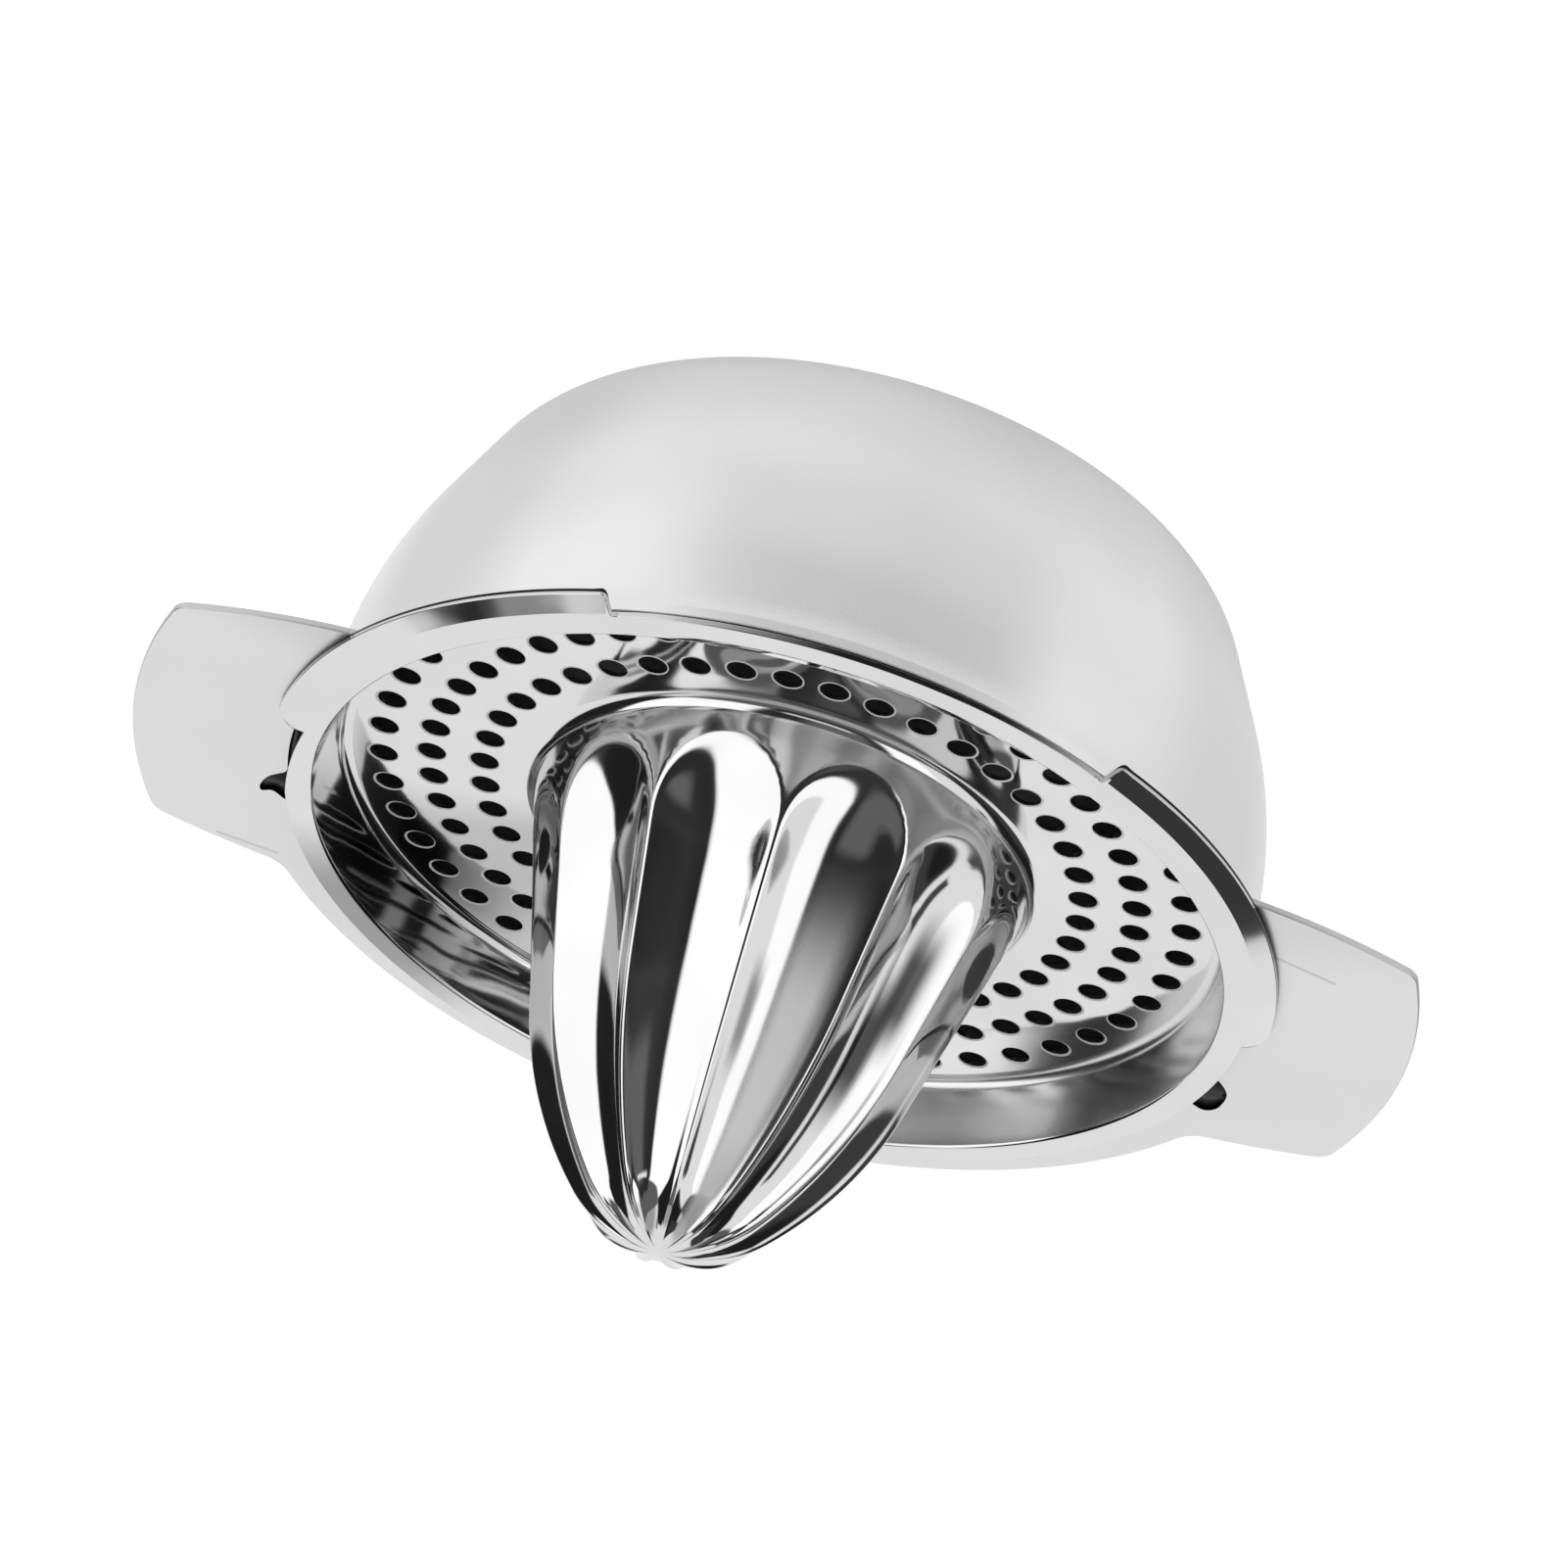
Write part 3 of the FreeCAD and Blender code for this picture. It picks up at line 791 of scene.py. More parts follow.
@dataclass
class Strainer:
    """Perforated dish and fluted reamer, pressed from one sheet, that drops into the bowl.

    Attributes:
        bowl: Bowl that it sits in.
        near_lean: How far the dish wall leans in on the pouring side.
        lean_band: Distance inside the rim's radius at which that lean starts, and over which it
            grows inwards.
        rim_slope: Angle by which the rim slopes to the outside over the pouring side.
        pour_fade: Angle beyond the lugs' start at which the slope ends, and over which it fades.
        slope_band: Distance inside the rim's radius at which the slope starts, and over which it
            grows outwards.
        slope_middle: Distance inside the rim's radius about which the slope turns.
        rings: Rings of holes, as (distance inside the floor's radius, count, first angle).
        notch_depth: Depth of the notch in the rim behind the lug at +X.
        notch_span: Angle over which the notch runs out.
        sag_ratio: Depth of a flute as a share of the reamer's radius.
        tip_sag: What the flutes' depth gains towards the tip, as such a share.
        tip_radius: Radius of the reamer at which that gain starts.
        ridge_share: Largest part of half a flute's width that half a ridge takes.
        rim_start: Distance inside the rim's radius at which the rim's rows start.
        rim_rows: Places of those rows, from 0 at their start to 1 at the edge.
        wall_rows: Rows of the floor's bend and the wall.
        outer_columns: Columns to a flute on the upper side.
        inner_columns: Columns to a flute on the lower side.
        outer_rows: Rows of the reamer's root and of its side on the upper side.
        inner_rows: The same on the lower side.
        path_samples: Points on its taper, its side arc and its crown, along which the rows are
            spread.
        near_points: Points on the rim's pouring side, the first of the counts that divide the
            outline.
        edge_steps: Divisions of each quarter round of the outer edge.
        hole_steps: Divisions of each quarter round of the holes' edges.
        row_crowding: Exponents that draw the side's rows away from its foot and to its tip.
        column_crowding: Share of the columns' spread that draws them towards the ridges.
    """

    bowl: Bowl = field(default_factory=Bowl)
    sheet: float = 0.7
    depth: float = 8.4
    draft: float = 9.7
    floor_fillet: float = 1.5
    rim_fillet: float = 0.5
    rim_overlap: float = 1.9
    clearance: float = 0.35
    seat_clearance: float = 0.3
    seat_bend: float = 1.2
    near_lean: float = 0.5
    lean_band: tuple[float, float] = (0.4, 2.2)
    rim_slope: float = 10.0
    pour_fade: tuple[float, float] = (1.5, 6.0)
    slope_band: tuple[float, float] = (2.6, 0.6)
    slope_middle: float = 1.1
    lug_width: float = 2.7
    lug_flat: float = 0.5
    lug_slope: float = 25.0
    lug_droop: float = 0.9
    lug_bend: float = 0.25
    lug_start: float = 29.5
    lug_end: float = 86.0
    lug_front_radius: float = 0.6
    lug_back_radius: float = 2.2
    rings: tuple[tuple[float, int, float], ...] = (
        (4.7, 48, 4.55), (10.45, 48, 0.8), (16.65, 42, 6.86))
    hole_diameter: float = 3.3
    hole_sides: int = 20
    hole_softness: float = 0.14
    edge_softness: float = 0.08
    notch_depth: float = 1.0
    notch_span: float = 15.0
    reamer_radius: float = 29.1
    reamer_height: float = 53.8
    taper: float = 14.3
    side_radius: float = 51.1
    crown_radius: float = 14.6
    root_fillet: float = 2.0
    skirt: float = 2.4
    flutes: int = 11
    sag_ratio: float = 0.085
    tip_sag: float = 0.12
    tip_radius: float = 10.0
    ridge_width: float = 0.7
    ridge_share: float = 0.2
    first_ridge: float = -84.1
    arch_bottom: float = 4.4
    arch_height: float = 8.2
    arch_blend: float = 0.5
    soft_radius: float = 22.0
    ridge_softness: float = 0.75
    arch_softness: float = 1.5
    rim_start: float = 2.2
    rim_rows: tuple[float, ...] = (
        0.12, 0.25, 0.38, 0.41, 0.44, 0.47, 0.5, 0.55, 0.75, 0.97, 1.0)
    wall_rows: int = 22
    outer_columns: int = 44
    inner_columns: int = 18
    outer_rows: tuple[int, int] = (9, 84)
    inner_rows: tuple[int, int] = (6, 40)
    path_samples: tuple[int, int, int] = (20, 400, 200)
    near_points: int = 30
    lug_corner_points: int = 9
    lug_points: int = 60
    far_points: int = 95
    edge_steps: int = 3
    hole_steps: int = 2
    row_crowding: tuple[float, float] = (0.85, 1.15)
    column_crowding: float = 0.28

    @property
    def top(self) -> float:
        """Height of the rim's upper side."""
        return self.bowl.height + self.seat_clearance + self.sheet + self.lug_droop

    @property
    def floor(self) -> float:
        """Height of the dish floor's upper side."""
        return self.top - self.depth

    @property
    def rim_radius(self) -> float:
        """Radius of the rim between the lugs."""
        return self.bowl.radius + self.rim_overlap

    @property
    def floor_radius(self) -> float:
        """Radius at which the floor and the wall would meet without a fillet.

        Returns:
            Radius of the wall inside the bowl, drawn in by its draft down to the floor.
        """
        wall_height = self.bowl.height - self.bowl.sheet - self.seat_bend
        wall = self.bowl.radius - self.bowl.sheet - self.clearance - self.sheet
        return wall - (wall_height - self.floor) * math.tan(turn(self.draft))

    @property
    def skirt_radius(self) -> float:
        """Radius at which the reamer's own rows end on the floor."""
        return self.reamer_radius + self.skirt

    def profile(self) -> Profile:
        """Upper side of the dish in section.

        Returns:
            Profile from the reamer's skirt out over the rim and down the lugs.
        """
        top_radius = self.floor_radius + self.depth * math.tan(turn(self.draft))
        fold = self.rim_radius + self.lug_flat
        beyond = self.lug_width + 1
        corners = [(self.skirt_radius, self.floor), (self.floor_radius, self.floor),
                   (top_radius, self.top), (fold, self.top),
                   (fold + beyond, self.top - beyond * math.tan(turn(self.lug_slope)))]
        return Profile.rounded(corners, [self.floor_fillet, self.rim_fillet, self.lug_bend])

    def lug_outline(self) -> np.ndarray:
        """Outline of the rim in plan.

        The right half has one lug with rounded corners, and the left half mirrors it. The rim's
        notch behind the lug is left out on the left.

        Returns:
            Points, shape (n, 2), anticlockwise from the middle of the pouring side.
        """
        inner, outer = self.rim_radius, self.rim_radius + self.lug_width
        start, end = turn(self.lug_start), turn(self.lug_end)
        bend = np.linspace(0, math.pi / 2, self.lug_corner_points)
        rise, fall = np.sin(bend), 1 - np.cos(bend)
        front, back = self.lug_front_radius, self.lug_back_radius
        lean = turn(self.bowl.step_lean)
        half = np.concatenate([
            circle_arc(inner, 0, start, self.near_points),
            polar_points(outer - front + front * rise, start + lean + front * fall / outer),
            circle_arc(outer, start + lean + front / outer, end - back / outer,
                       self.lug_points)[1:-1],
            polar_points((outer - back + back * rise)[::-1], end - back * fall[::-1] / outer),
            circle_arc(inner, end + lean, math.pi, self.far_points),
        ])
        half = half @ np.array([[0, -1], [1, 0]])
        angle = np.degrees(np.arctan2(half[:, 1], half[:, 0])) - (self.lug_end - 90)
        on_rim = np.isclose(np.hypot(*half.T), inner)
        notch = np.where(on_rim & (angle > 0), np.clip(1 - angle / self.notch_span, 0, 1), 0)
        notched = half * (1 - notch * self.notch_depth / inner)[:, None]
        return np.concatenate([notched, (half * (-1, 1))[::-1][1:-1]])

    def pour_slope(self, place: np.ndarray, angles: np.ndarray) -> tuple[np.ndarray, np.ndarray]:
        """Heights of the rim with its slight slope to the outside over the pouring side.

        The slope is full in the middle of the pouring side and ends where the lugs begin. It
        turns the rim about its middle, so the inner side rises and the outer side sinks.

        Args:
            place: Points of the profile as (radius, height).
            angles: Angle of each column in radians.

        Returns:
            New heights, and the angle of the slope at each point in radians.
        """
        aside = np.degrees(np.abs((angles + math.pi / 2 + math.pi) % (2 * math.pi) - math.pi))
        beyond, fade = self.pour_fade
        share = np.clip((self.lug_start + beyond - aside) / fade, 0, 1)
        inside, growth = self.slope_band
        along = np.clip((place[..., 0] - (self.rim_radius - inside)) / growth, 0, 1)
        slope = turn(self.rim_slope) * along * share
        middle = self.rim_radius - self.slope_middle
        return place[..., 1] - np.tan(slope) * (place[..., 0] - middle), slope

    def holes(self) -> list[np.ndarray]:
        """Outlines of the round holes in the floor.

        Returns:
            One outline for each hole, clockwise.
        """
        around = -np.linspace(0, 2 * math.pi, self.hole_sides, endpoint=False)
        ring = polar_points(self.hole_diameter / 2, around)
        found = []
        for inset, count, first in self.rings:
            angles = turn(first) + np.arange(count) * 2 * math.pi / count
            centres = polar_points(self.floor_radius - inset, angles)
            found.extend(ring + centre for centre in centres)
        return found

    def reamer_path(self, inset: float, fillet_rows: int, side_rows: int) -> np.ndarray:
        """Rows of the reamer's outline from the skirt to the tip, as (radius, height).

        The side leaves the floor on a straight taper, follows a long arc and ends on a round
        crown. The arc is tangent to the taper and to the crown's circle.

        Args:
            inset: Depth below the outside.
            fillet_rows: Rows on the fillet at the root.
            side_rows: Rows from there to the tip.

        Returns:
            Array of shape (rows, 2), with heights above the floor.
        """
        lean = turn(self.taper)
        outward = np.array([math.cos(lean), math.sin(lean)])
        crown, side = self.arc_centres()
        side_radius, crown_radius = self.side_radius - inset, self.crown_radius - inset
        join = crown + (crown - side) / np.linalg.norm(crown - side) * crown_radius
        side_start = side + outward * side_radius
        tip = crown + (0, crown_radius)
        corner = (self.reamer_radius - inset / math.cos(lean) + inset * math.tan(lean), -inset)
        root = Profile.rounded([(self.skirt_radius, -inset), corner, tuple(side_start)],
                               [self.root_fillet + inset])
        bend = root.points[1:-1]
        fillet = bend[np.linspace(0, len(bend) - 1, fillet_rows).astype(int)]
        on_taper, on_side, on_crown = self.path_samples
        run = np.concatenate([
            bend[-1:],
            bend[-1] + np.linspace(0, 1, on_taper)[1:, None] * (side_start - bend[-1]),
            arc_points(side, side_start, join, on_side)[1:],
            arc_points(crown, join, tip, on_crown)[1:],
        ])
        length = np.concatenate([[0], np.cumsum(np.linalg.norm(np.diff(run, axis=0), axis=1))])
        from_foot, to_tip = self.row_crowding
        even = 1 - (1 - np.linspace(0, 1, side_rows) ** from_foot) ** to_tip
        even[0], even[-1] = 0, 1
        rows = np.stack([np.interp(even * length[-1], length, run[:, k]) for k in (0, 1)], -1)
        return np.concatenate([root.points[:1], fillet[:-1], rows])

    def arc_centres(self) -> tuple[np.ndarray, np.ndarray]:
        """Centres of the reamer's two arcs.

        The side arc is tangent to the taper at the root. Its centre lies where its distance from
        the crown's centre is the difference of the two radii.

        Returns:
            Centre of the crown and centre of the long side arc, as (radius, height).
        """
        lean = turn(self.taper)
        along = np.array([-math.sin(lean), math.cos(lean)])
        crown = np.array([0.0, self.reamer_height - self.crown_radius])
        start = np.array([self.reamer_radius, 0.0])
        start = start - np.array([math.cos(lean), math.sin(lean)]) * self.side_radius
        gap = start - crown
        half = gap @ along
        rest = gap @ gap - (self.side_radius - self.crown_radius) ** 2
        return crown, start + along * (-half - math.sqrt(half * half - rest))

    def radius_at(self, height: np.ndarray) -> np.ndarray:
        """Radius of the plain outside, without the root's fillet.

        Args:
            height: Heights above the floor.

        Returns:
            Radii of the same shape as the heights.
        """
        lean = turn(self.taper)
        crown, side = self.arc_centres()
        join = crown + (crown - side) / np.linalg.norm(crown - side) * self.crown_radius
        round_top = np.sqrt(np.maximum(self.crown_radius ** 2 - (height - crown[1]) ** 2, 0))
        arc = side[0] + np.sqrt(np.maximum(self.side_radius ** 2 - (height - side[1]) ** 2, 0))
        line = self.reamer_radius - height * math.tan(lean)
        on_arc = height >= side[1] + math.sin(lean) * self.side_radius
        return np.where(height >= join[1], round_top, np.where(on_arc, arc, line))

    def fluted(self, path: np.ndarray, angles: np.ndarray, inset: float) -> np.ndarray:
        """Reamer surface: the nearer of its plain outline and of the flutes' level circles.

        At every height a flute is a circle whose centre lies outside the reamer. It cuts a
        hollow whose sag is a fixed share of the radius. Below the arch's top the circle draws
        back by the square of the way down, which rounds the flute's foot. The two surfaces meet
        in a smooth minimum, min(a, b) - k h (1 - h) with h running from 0 to 1 over 2 k, so the
        ridges and the arches have soft edges.

        Args:
            path: Rows of the plain outline, as (radius, height).
            angles: Angle of each column from the first ridge, in radians.
            inset: Depth below the outside.

        Returns:
            Points of shape (rows, columns, 3), with heights above the floor.
        """
        pitch = 2 * math.pi / self.flutes
        off = (angles + pitch / 2) % pitch - pitch / 2
        off = np.where(off < 0, off + pitch / 2, off - pitch / 2)
        height = path[:, 1:]
        arch_top = self.arch_bottom + self.arch_height
        radius = self.radius_at(height)
        crown_rows = height > self.reamer_height - self.crown_radius
        radius = np.where(crown_rows & (inset == 0), path[:, :1], radius)
        half_width = radius * math.sin(pitch / 2)
        half_width -= np.minimum(self.ridge_width / 2, self.ridge_share * half_width)
        near_tip = np.clip(1 - radius / self.tip_radius, 0, 1)
        sag = radius * (self.sag_ratio + self.tip_sag * near_tip)
        circle = (half_width ** 2 + sag ** 2) / (2 * np.maximum(sag, TINY))
        floor = radius * math.cos(pitch / 2) - sag
        drop = (arch_top - height) / self.arch_height
        drop = (drop + np.hypot(drop, self.arch_blend)) / 2
        floor = radius - (radius - floor) * (1 - drop * drop)
        centre = floor + circle
        reach = (circle + inset) ** 2 - (centre * np.sin(off)) ** 2
        hollow = centre * np.cos(off) - np.sqrt(np.maximum(reach, 0))
        plain = path[:, :1]
        low = np.clip(1 - (height - self.arch_bottom) / self.arch_height, 0, 1)
        soft = self.ridge_softness + (self.arch_softness - self.ridge_softness) * low
        soft = np.maximum(soft * np.minimum(1, radius / self.soft_radius), LEAST_DISTANCE)
        share = np.clip(0.5 + 0.5 * (hollow - plain) / soft, 0, 1)
        share = np.where(reach > 0, share, 1.0)
        mixed = hollow * (1 - share) + plain * share - soft * share * (1 - share)
        mixed = np.maximum(mixed, 0)
        return revolve(np.stack([mixed, np.broadcast_to(height, mixed.shape)], -1), angles)

    def reamer_angles(self, per_flute: int) -> np.ndarray:
        """Angles of the reamer's columns, closer together at the ridges.

        Args:
            per_flute: Columns to a flute.

        Returns:
            Angles in radians from the first ridge, rising.
        """
        across = np.linspace(-1, 1, per_flute, endpoint=False)
        crowding = self.column_crowding
        across = (1 - crowding) * across + crowding * np.sin(across * math.pi / 2)
        pitch = 2 * math.pi / self.flutes
        return ((np.arange(self.flutes)[:, None] + 0.5 + across / 2) * pitch).reshape(-1)

    def build(self) -> bpy.types.Object:
        """Makes the strainer as one closed sheet.

        The reamer is a grid of angle by height on both sides of the sheet. The floor between it
        and the wall is a flat region with its holes, and the wall, rim and lugs are rows of a
        profile on columns of angles.

        Returns:
            The strainer's object.
        """
        shell = Shell()
        skirts = self.add_reamer(shell)
        floors = self.add_rim(shell)
        cut = self.add_holes(shell)
        shell.add_flat([floors[0], skirts[0][::-1], *cut], self.floor, True)
        shell.add_flat([floors[1], skirts[1][::-1], *cut], self.floor - self.sheet, False)
        shell.turn_about_axis(turn(self.bowl.seat_turn))
        return shell.mesh("strainer_sheet")

    def add_reamer(self, shell: Shell) -> list[np.ndarray]:
        """Adds both sides of the reamer.

        Args:
            shell: Shell that gets the surfaces.

        Returns:
            Outlines in plan at which the upper and the lower side end on the floor.
        """
        skirts = []
        for inset, per_flute, counts, facing in (
                (0.0, self.outer_columns, self.outer_rows, Side.LEFT),
                (self.sheet, self.inner_columns, self.inner_rows, Side.RIGHT)):
            angles = self.reamer_angles(per_flute)
            points = self.fluted(self.reamer_path(inset, *counts), angles, inset)
            radius = np.hypot(points[..., 0], points[..., 1])
            points = revolve(np.stack([radius, points[..., 2] + self.floor], -1),
                             angles + turn(self.first_ridge))
            normals = grid_normals(points)
            normals[[0, -1]] = (0, 0, 1)
            shell.add_grid(points, normals * facing.value)
            skirts.append(points[0, :, :2])
        return skirts

    def add_rim(self, shell: Shell) -> list[np.ndarray]:
        """Adds both sides of the floor's bend, the wall, the rim and the lugs, and their edge.

        Args:
            shell: Shell that gets the surfaces.

        Returns:
            Outlines in plan at which the upper and the lower side end on the floor.
        """
        outline = self.lug_outline()
        angles = loop_angles(outline)
        edge_normal = plan_normals(outline)
        upper = self.profile()
        rim_rows = np.array(self.rim_rows)[:, None]
        ends, floors, facings = [], [], []
        for profile, facing in ((upper, Side.LEFT), (upper.offset(-self.sheet), Side.RIGHT)):
            start = profile.length[1]
            rim_start = profile.distance_at_radius(self.rim_radius - self.rim_start, start)
            stop = profile.distance_at_radius(np.hypot(*outline.T) - self.edge_softness, start)
            body = spread_between(profile, start, rim_start, self.wall_rows)
            rows = np.concatenate([np.repeat(body[:, None], len(angles), axis=1),
                                   rim_start + rim_rows * (stop - rim_start)])
            place, lean = profile.at(rows)
            rise = np.clip((place[..., 1] - self.floor) / self.depth, 0, 1)
            inside, growth = self.lean_band
            inward = np.clip((self.rim_radius - inside - place[..., 0]) / growth, 0, 1)
            place[..., 0] -= self.near_lean * rise * inward * np.clip(-np.sin(angles), 0, 1)
            place[..., 1], slope = self.pour_slope(place, angles)
            lean = np.stack([lean[..., 0] * np.cos(slope) + lean[..., 1] * np.sin(slope),
                             lean[..., 1] * np.cos(slope) - lean[..., 0] * np.sin(slope)], -1)
            points = revolve(place, angles)
            points[-1, :, :2] = outline - edge_normal * self.edge_softness
            normals = revolve(lean, angles) * facing.value
            shell.add_grid(points, normals)
            ends.append(points[-1, :, 2])
            facings.append(normals[-1])
            floors.append(points[0, :, :2])
        shell.add_grid(*edge_band(outline, edge_normal, self.edge_softness, *ends,
                                  self.edge_steps, facings[0]))
        return floors

    def add_holes(self, shell: Shell) -> list[np.ndarray]:
        """Adds the edges of the holes in the floor.

        Args:
            shell: Shell that gets the surfaces.

        Returns:
            Outlines that the floor leaves free, clockwise.
        """
        cut = []
        for hole in self.holes():
            out = plan_normals(hole)
            shell.add_grid(*edge_band(hole, out, self.hole_softness, self.floor,
                                      self.floor - self.sheet, self.hole_steps))
            cut.append(hole - out * self.hole_softness)
        return cut


def grid_normals(points: np.ndarray) -> np.ndarray:
    """Outward normals of a grid that closes on itself across its columns.

    The normal is the cross product of the central differences along a row and up a column.

    Args:
        points: Shape (rows, columns, 3).

    Returns:
        Unit normals of the same shape.
    """
    around = np.roll(points, -1, axis=1) - np.roll(points, 1, axis=1)
    up = np.gradient(points, axis=0)
    normals = np.cross(around, up)
    size = np.linalg.norm(normals, axis=-1, keepdims=True)
    return normals / np.maximum(size, TINY)


class Wire:
    """Output of a shader node that can be reckoned with.

    Each operator and method adds a node to the tree and gives that node's output.
    """

    def __init__(self, tree: bpy.types.NodeTree, socket: bpy.types.NodeSocket) -> None:
        """Keeps the output and the tree that it lies in."""
        self.tree = tree
        self.socket = socket

    def feed(self, socket: bpy.types.NodeSocket) -> None:
        """Links this output to an input."""
        self.tree.links.new(self.socket, socket)

    def math(self, operation: str, *others: Wire | float) -> Wire:
        """Math node of this value, followed by others."""
        return math_node(self.tree, operation, self, *others)

    def __add__(self, other: Wire | float) -> Wire:
        """Sum."""
        return self.math("ADD", other)

    def __sub__(self, other: Wire | float) -> Wire:
        """Difference."""
        return self.math("SUBTRACT", other)

    def __rsub__(self, other: float) -> Wire:
        """Difference from a number."""
        return math_node(self.tree, "SUBTRACT", other, self)

    def __mul__(self, other: Wire | float) -> Wire:
        """Product."""
        return self.math("MULTIPLY", other)

    def __truediv__(self, other: Wire | float) -> Wire:
        """Quotient."""
        return self.math("DIVIDE", other)

    def __abs__(self) -> Wire:
        """Size without the sign."""
        return self.math("ABSOLUTE")

    def clamped(self) -> Wire:
        """The value held between 0 and 1."""
        return self.math("MAXIMUM", 0.0).math("MINIMUM", 1.0)

    def ranged(self, source: tuple[float, float], target: tuple[float, float]) -> Wire:
        """Moves the value from one range to another, along a smooth step.

        Args:
            source: Values at which the step starts and ends.
            target: What comes out at them and beyond.

        Returns:
            The moved value.
        """
        node = self.tree.nodes.new("ShaderNodeMapRange")
        node.interpolation_type = "SMOOTHSTEP"
        self.feed(node.inputs["Value"])
        for name, number in zip(("From Min", "From Max", "To Min", "To Max"), (*source, *target)):
            node.inputs[name].default_value = number
        return Wire(self.tree, node.outputs[0])

    def window(self, low: float, high: float, softness: float) -> Wire:
        """Mask that is 1 between two values and 0 outside.

        Args:
            low: Middle of the rising flank.
            high: Middle of the falling flank.
            softness: Width of each flank.

        Returns:
            The mask.
        """
        soft = softness / 2
        rise = self.ranged((low - soft, low + soft), (0, 1))
        return rise * self.ranged((high - soft, high + soft), (1, 0))


def fill(socket: bpy.types.NodeSocket, value: Wire | float | tuple[float, ...]) -> None:
    """Gives an input its value.

    Args:
        socket: The input.
        value: Wire that is linked to it, or number or colour that is written there.
    """
    if isinstance(value, Wire):
        value.feed(socket)
    else:
        socket.default_value = value


def math_node(tree: bpy.types.NodeTree, operation: str, *values: Wire | float) -> Wire:
    """Adds a Math node.

    Args:
        tree: Node tree that gets the node.
        operation: Blender's name of the operation.
        values: What goes in, in order.

    Returns:
        The result.
    """
    node = tree.nodes.new("ShaderNodeMath")
    node.operation = operation
    for socket, value in zip(node.inputs, values):
        fill(socket, value)
    return Wire(tree, node.outputs[0])


def mix(share: Wire, first: Wire | float | tuple[float, ...],
        second: Wire | float | tuple[float, ...], kind: Mix) -> Wire:
    """Adds a Mix node.

    Args:
        share: How much of the second value comes out.
        first: Value at a share of 0.
        second: Value at a share of 1.
        kind: Whether levels or colours are mixed.

    Returns:
        The mixed level or colour.
    """
    node = share.tree.nodes.new("ShaderNodeMix")
    node.data_type, place, result = kind.value
    share.feed(node.inputs[0])
    fill(node.inputs[place], first)
    fill(node.inputs[place + 1], second)
    return Wire(share.tree, node.outputs[result])


def greyed(colour: Wire, mask: Wire, level: float) -> Wire:
    """Moves a colour to a grey level by a mask."""
    return mix(mask, colour, (level, level, level, 1.0), Mix.COLOUR)


def coordinate_parts(tree: bpy.types.NodeTree, kind: str = "Object") -> list[Wire]:
    """X, Y and Z of a coordinate.

    Args:
        tree: Node tree that gets the nodes.
        kind: Blender's name of the coordinate: Object in metres, Normal, or Generated, which is
            the direction in a world.

    Returns:
        The three parts.
    """
    split = tree.nodes.new("ShaderNodeSeparateXYZ")
    tree.links.new(tree.nodes.new("ShaderNodeTexCoord").outputs[kind], split.inputs[0])
    return [Wire(tree, socket) for socket in split.outputs]


def axis_reach(x: Wire, y: Wire) -> Wire:
    """Distance from the Z axis: the root of the sum of two squares."""
    return (x * x + y * y).math("SQRT")


def axis_angle(x: Wire, y: Wire) -> Wire:
    """Angle about the Z axis from +X, in degrees."""
    return y.math("ARCTAN2", x).math("DEGREES")


def noise(tree: bpy.types.NodeTree, scale: Wire, detail: float) -> Wire:
    """Adds a Noise Texture on the object's coordinates.

    Args:
        tree: Node tree that gets the nodes.
        scale: Noise cells to the metre.
        detail: Octaves beyond the first.

    Returns:
        The noise, from 0 to 1.
    """
    texture = tree.nodes.new("ShaderNodeTexNoise")
    texture.inputs["Detail"].default_value = detail
    place = tree.nodes.new("ShaderNodeTexCoord").outputs["Object"]
    tree.links.new(place, texture.inputs["Vector"])
    scale.feed(texture.inputs["Scale"])
    return Wire(tree, texture.outputs["Fac"])


def bumped(height: Wire) -> Wire:
    """Adds a Bump node.

    Args:
        height: Height of the bumps in metres.

    Returns:
        The normal of the bumpy surface.
    """
    node = height.tree.nodes.new("ShaderNodeBump")
    node.inputs["Strength"].default_value = 1.0
    node.inputs["Distance"].default_value = 1.0
    height.feed(node.inputs["Height"])
    return Wire(height.tree, node.outputs["Normal"])


def place_group(tree: bpy.types.NodeTree, group: bpy.types.NodeTree,
                **values: Wire | float) -> Wire:
    """Places a node group.

    Args:
        tree: Node tree that gets it.
        group: The group.
        values: Its inputs by name, with an underscore for a space.

    Returns:
        The group's output.
    """
    node = tree.nodes.new("ShaderNodeGroup")
    node.node_tree = group
    for name, value in values.items():
        fill(node.inputs[name.replace("_", " ")], value)
    return Wire(tree, node.outputs[0])


class Effect:
    """Shader node group in the making: named numbers go in and one number comes out."""

    def __init__(self, name: str, output: str = "Value", **inputs: float) -> None:
        """Opens the group.

        Args:
            name: Name of the group.
            output: Name of what comes out.
            inputs: First value of each input by name, with an underscore for a space.
        """
        self.tree = bpy.data.node_groups.new(name, "ShaderNodeTree")
        face = self.tree.interface
        for label, value in inputs.items():
            socket = face.new_socket(label.replace("_", " "), in_out="INPUT",
                                     socket_type="NodeSocketFloat")
            socket.default_value = value
        face.new_socket(output, in_out="OUTPUT", socket_type="NodeSocketFloat")
        source = self.tree.nodes.new("NodeGroupInput")
        self.sink = self.tree.nodes.new("NodeGroupOutput")
        self.inputs = [Wire(self.tree, socket) for socket in list(source.outputs)[:len(inputs)]]

    def finish(self, result: Wire) -> bpy.types.NodeTree:
        """Feeds the group's output and gives the group."""
        result.feed(self.sink.inputs[0])
        return self.tree


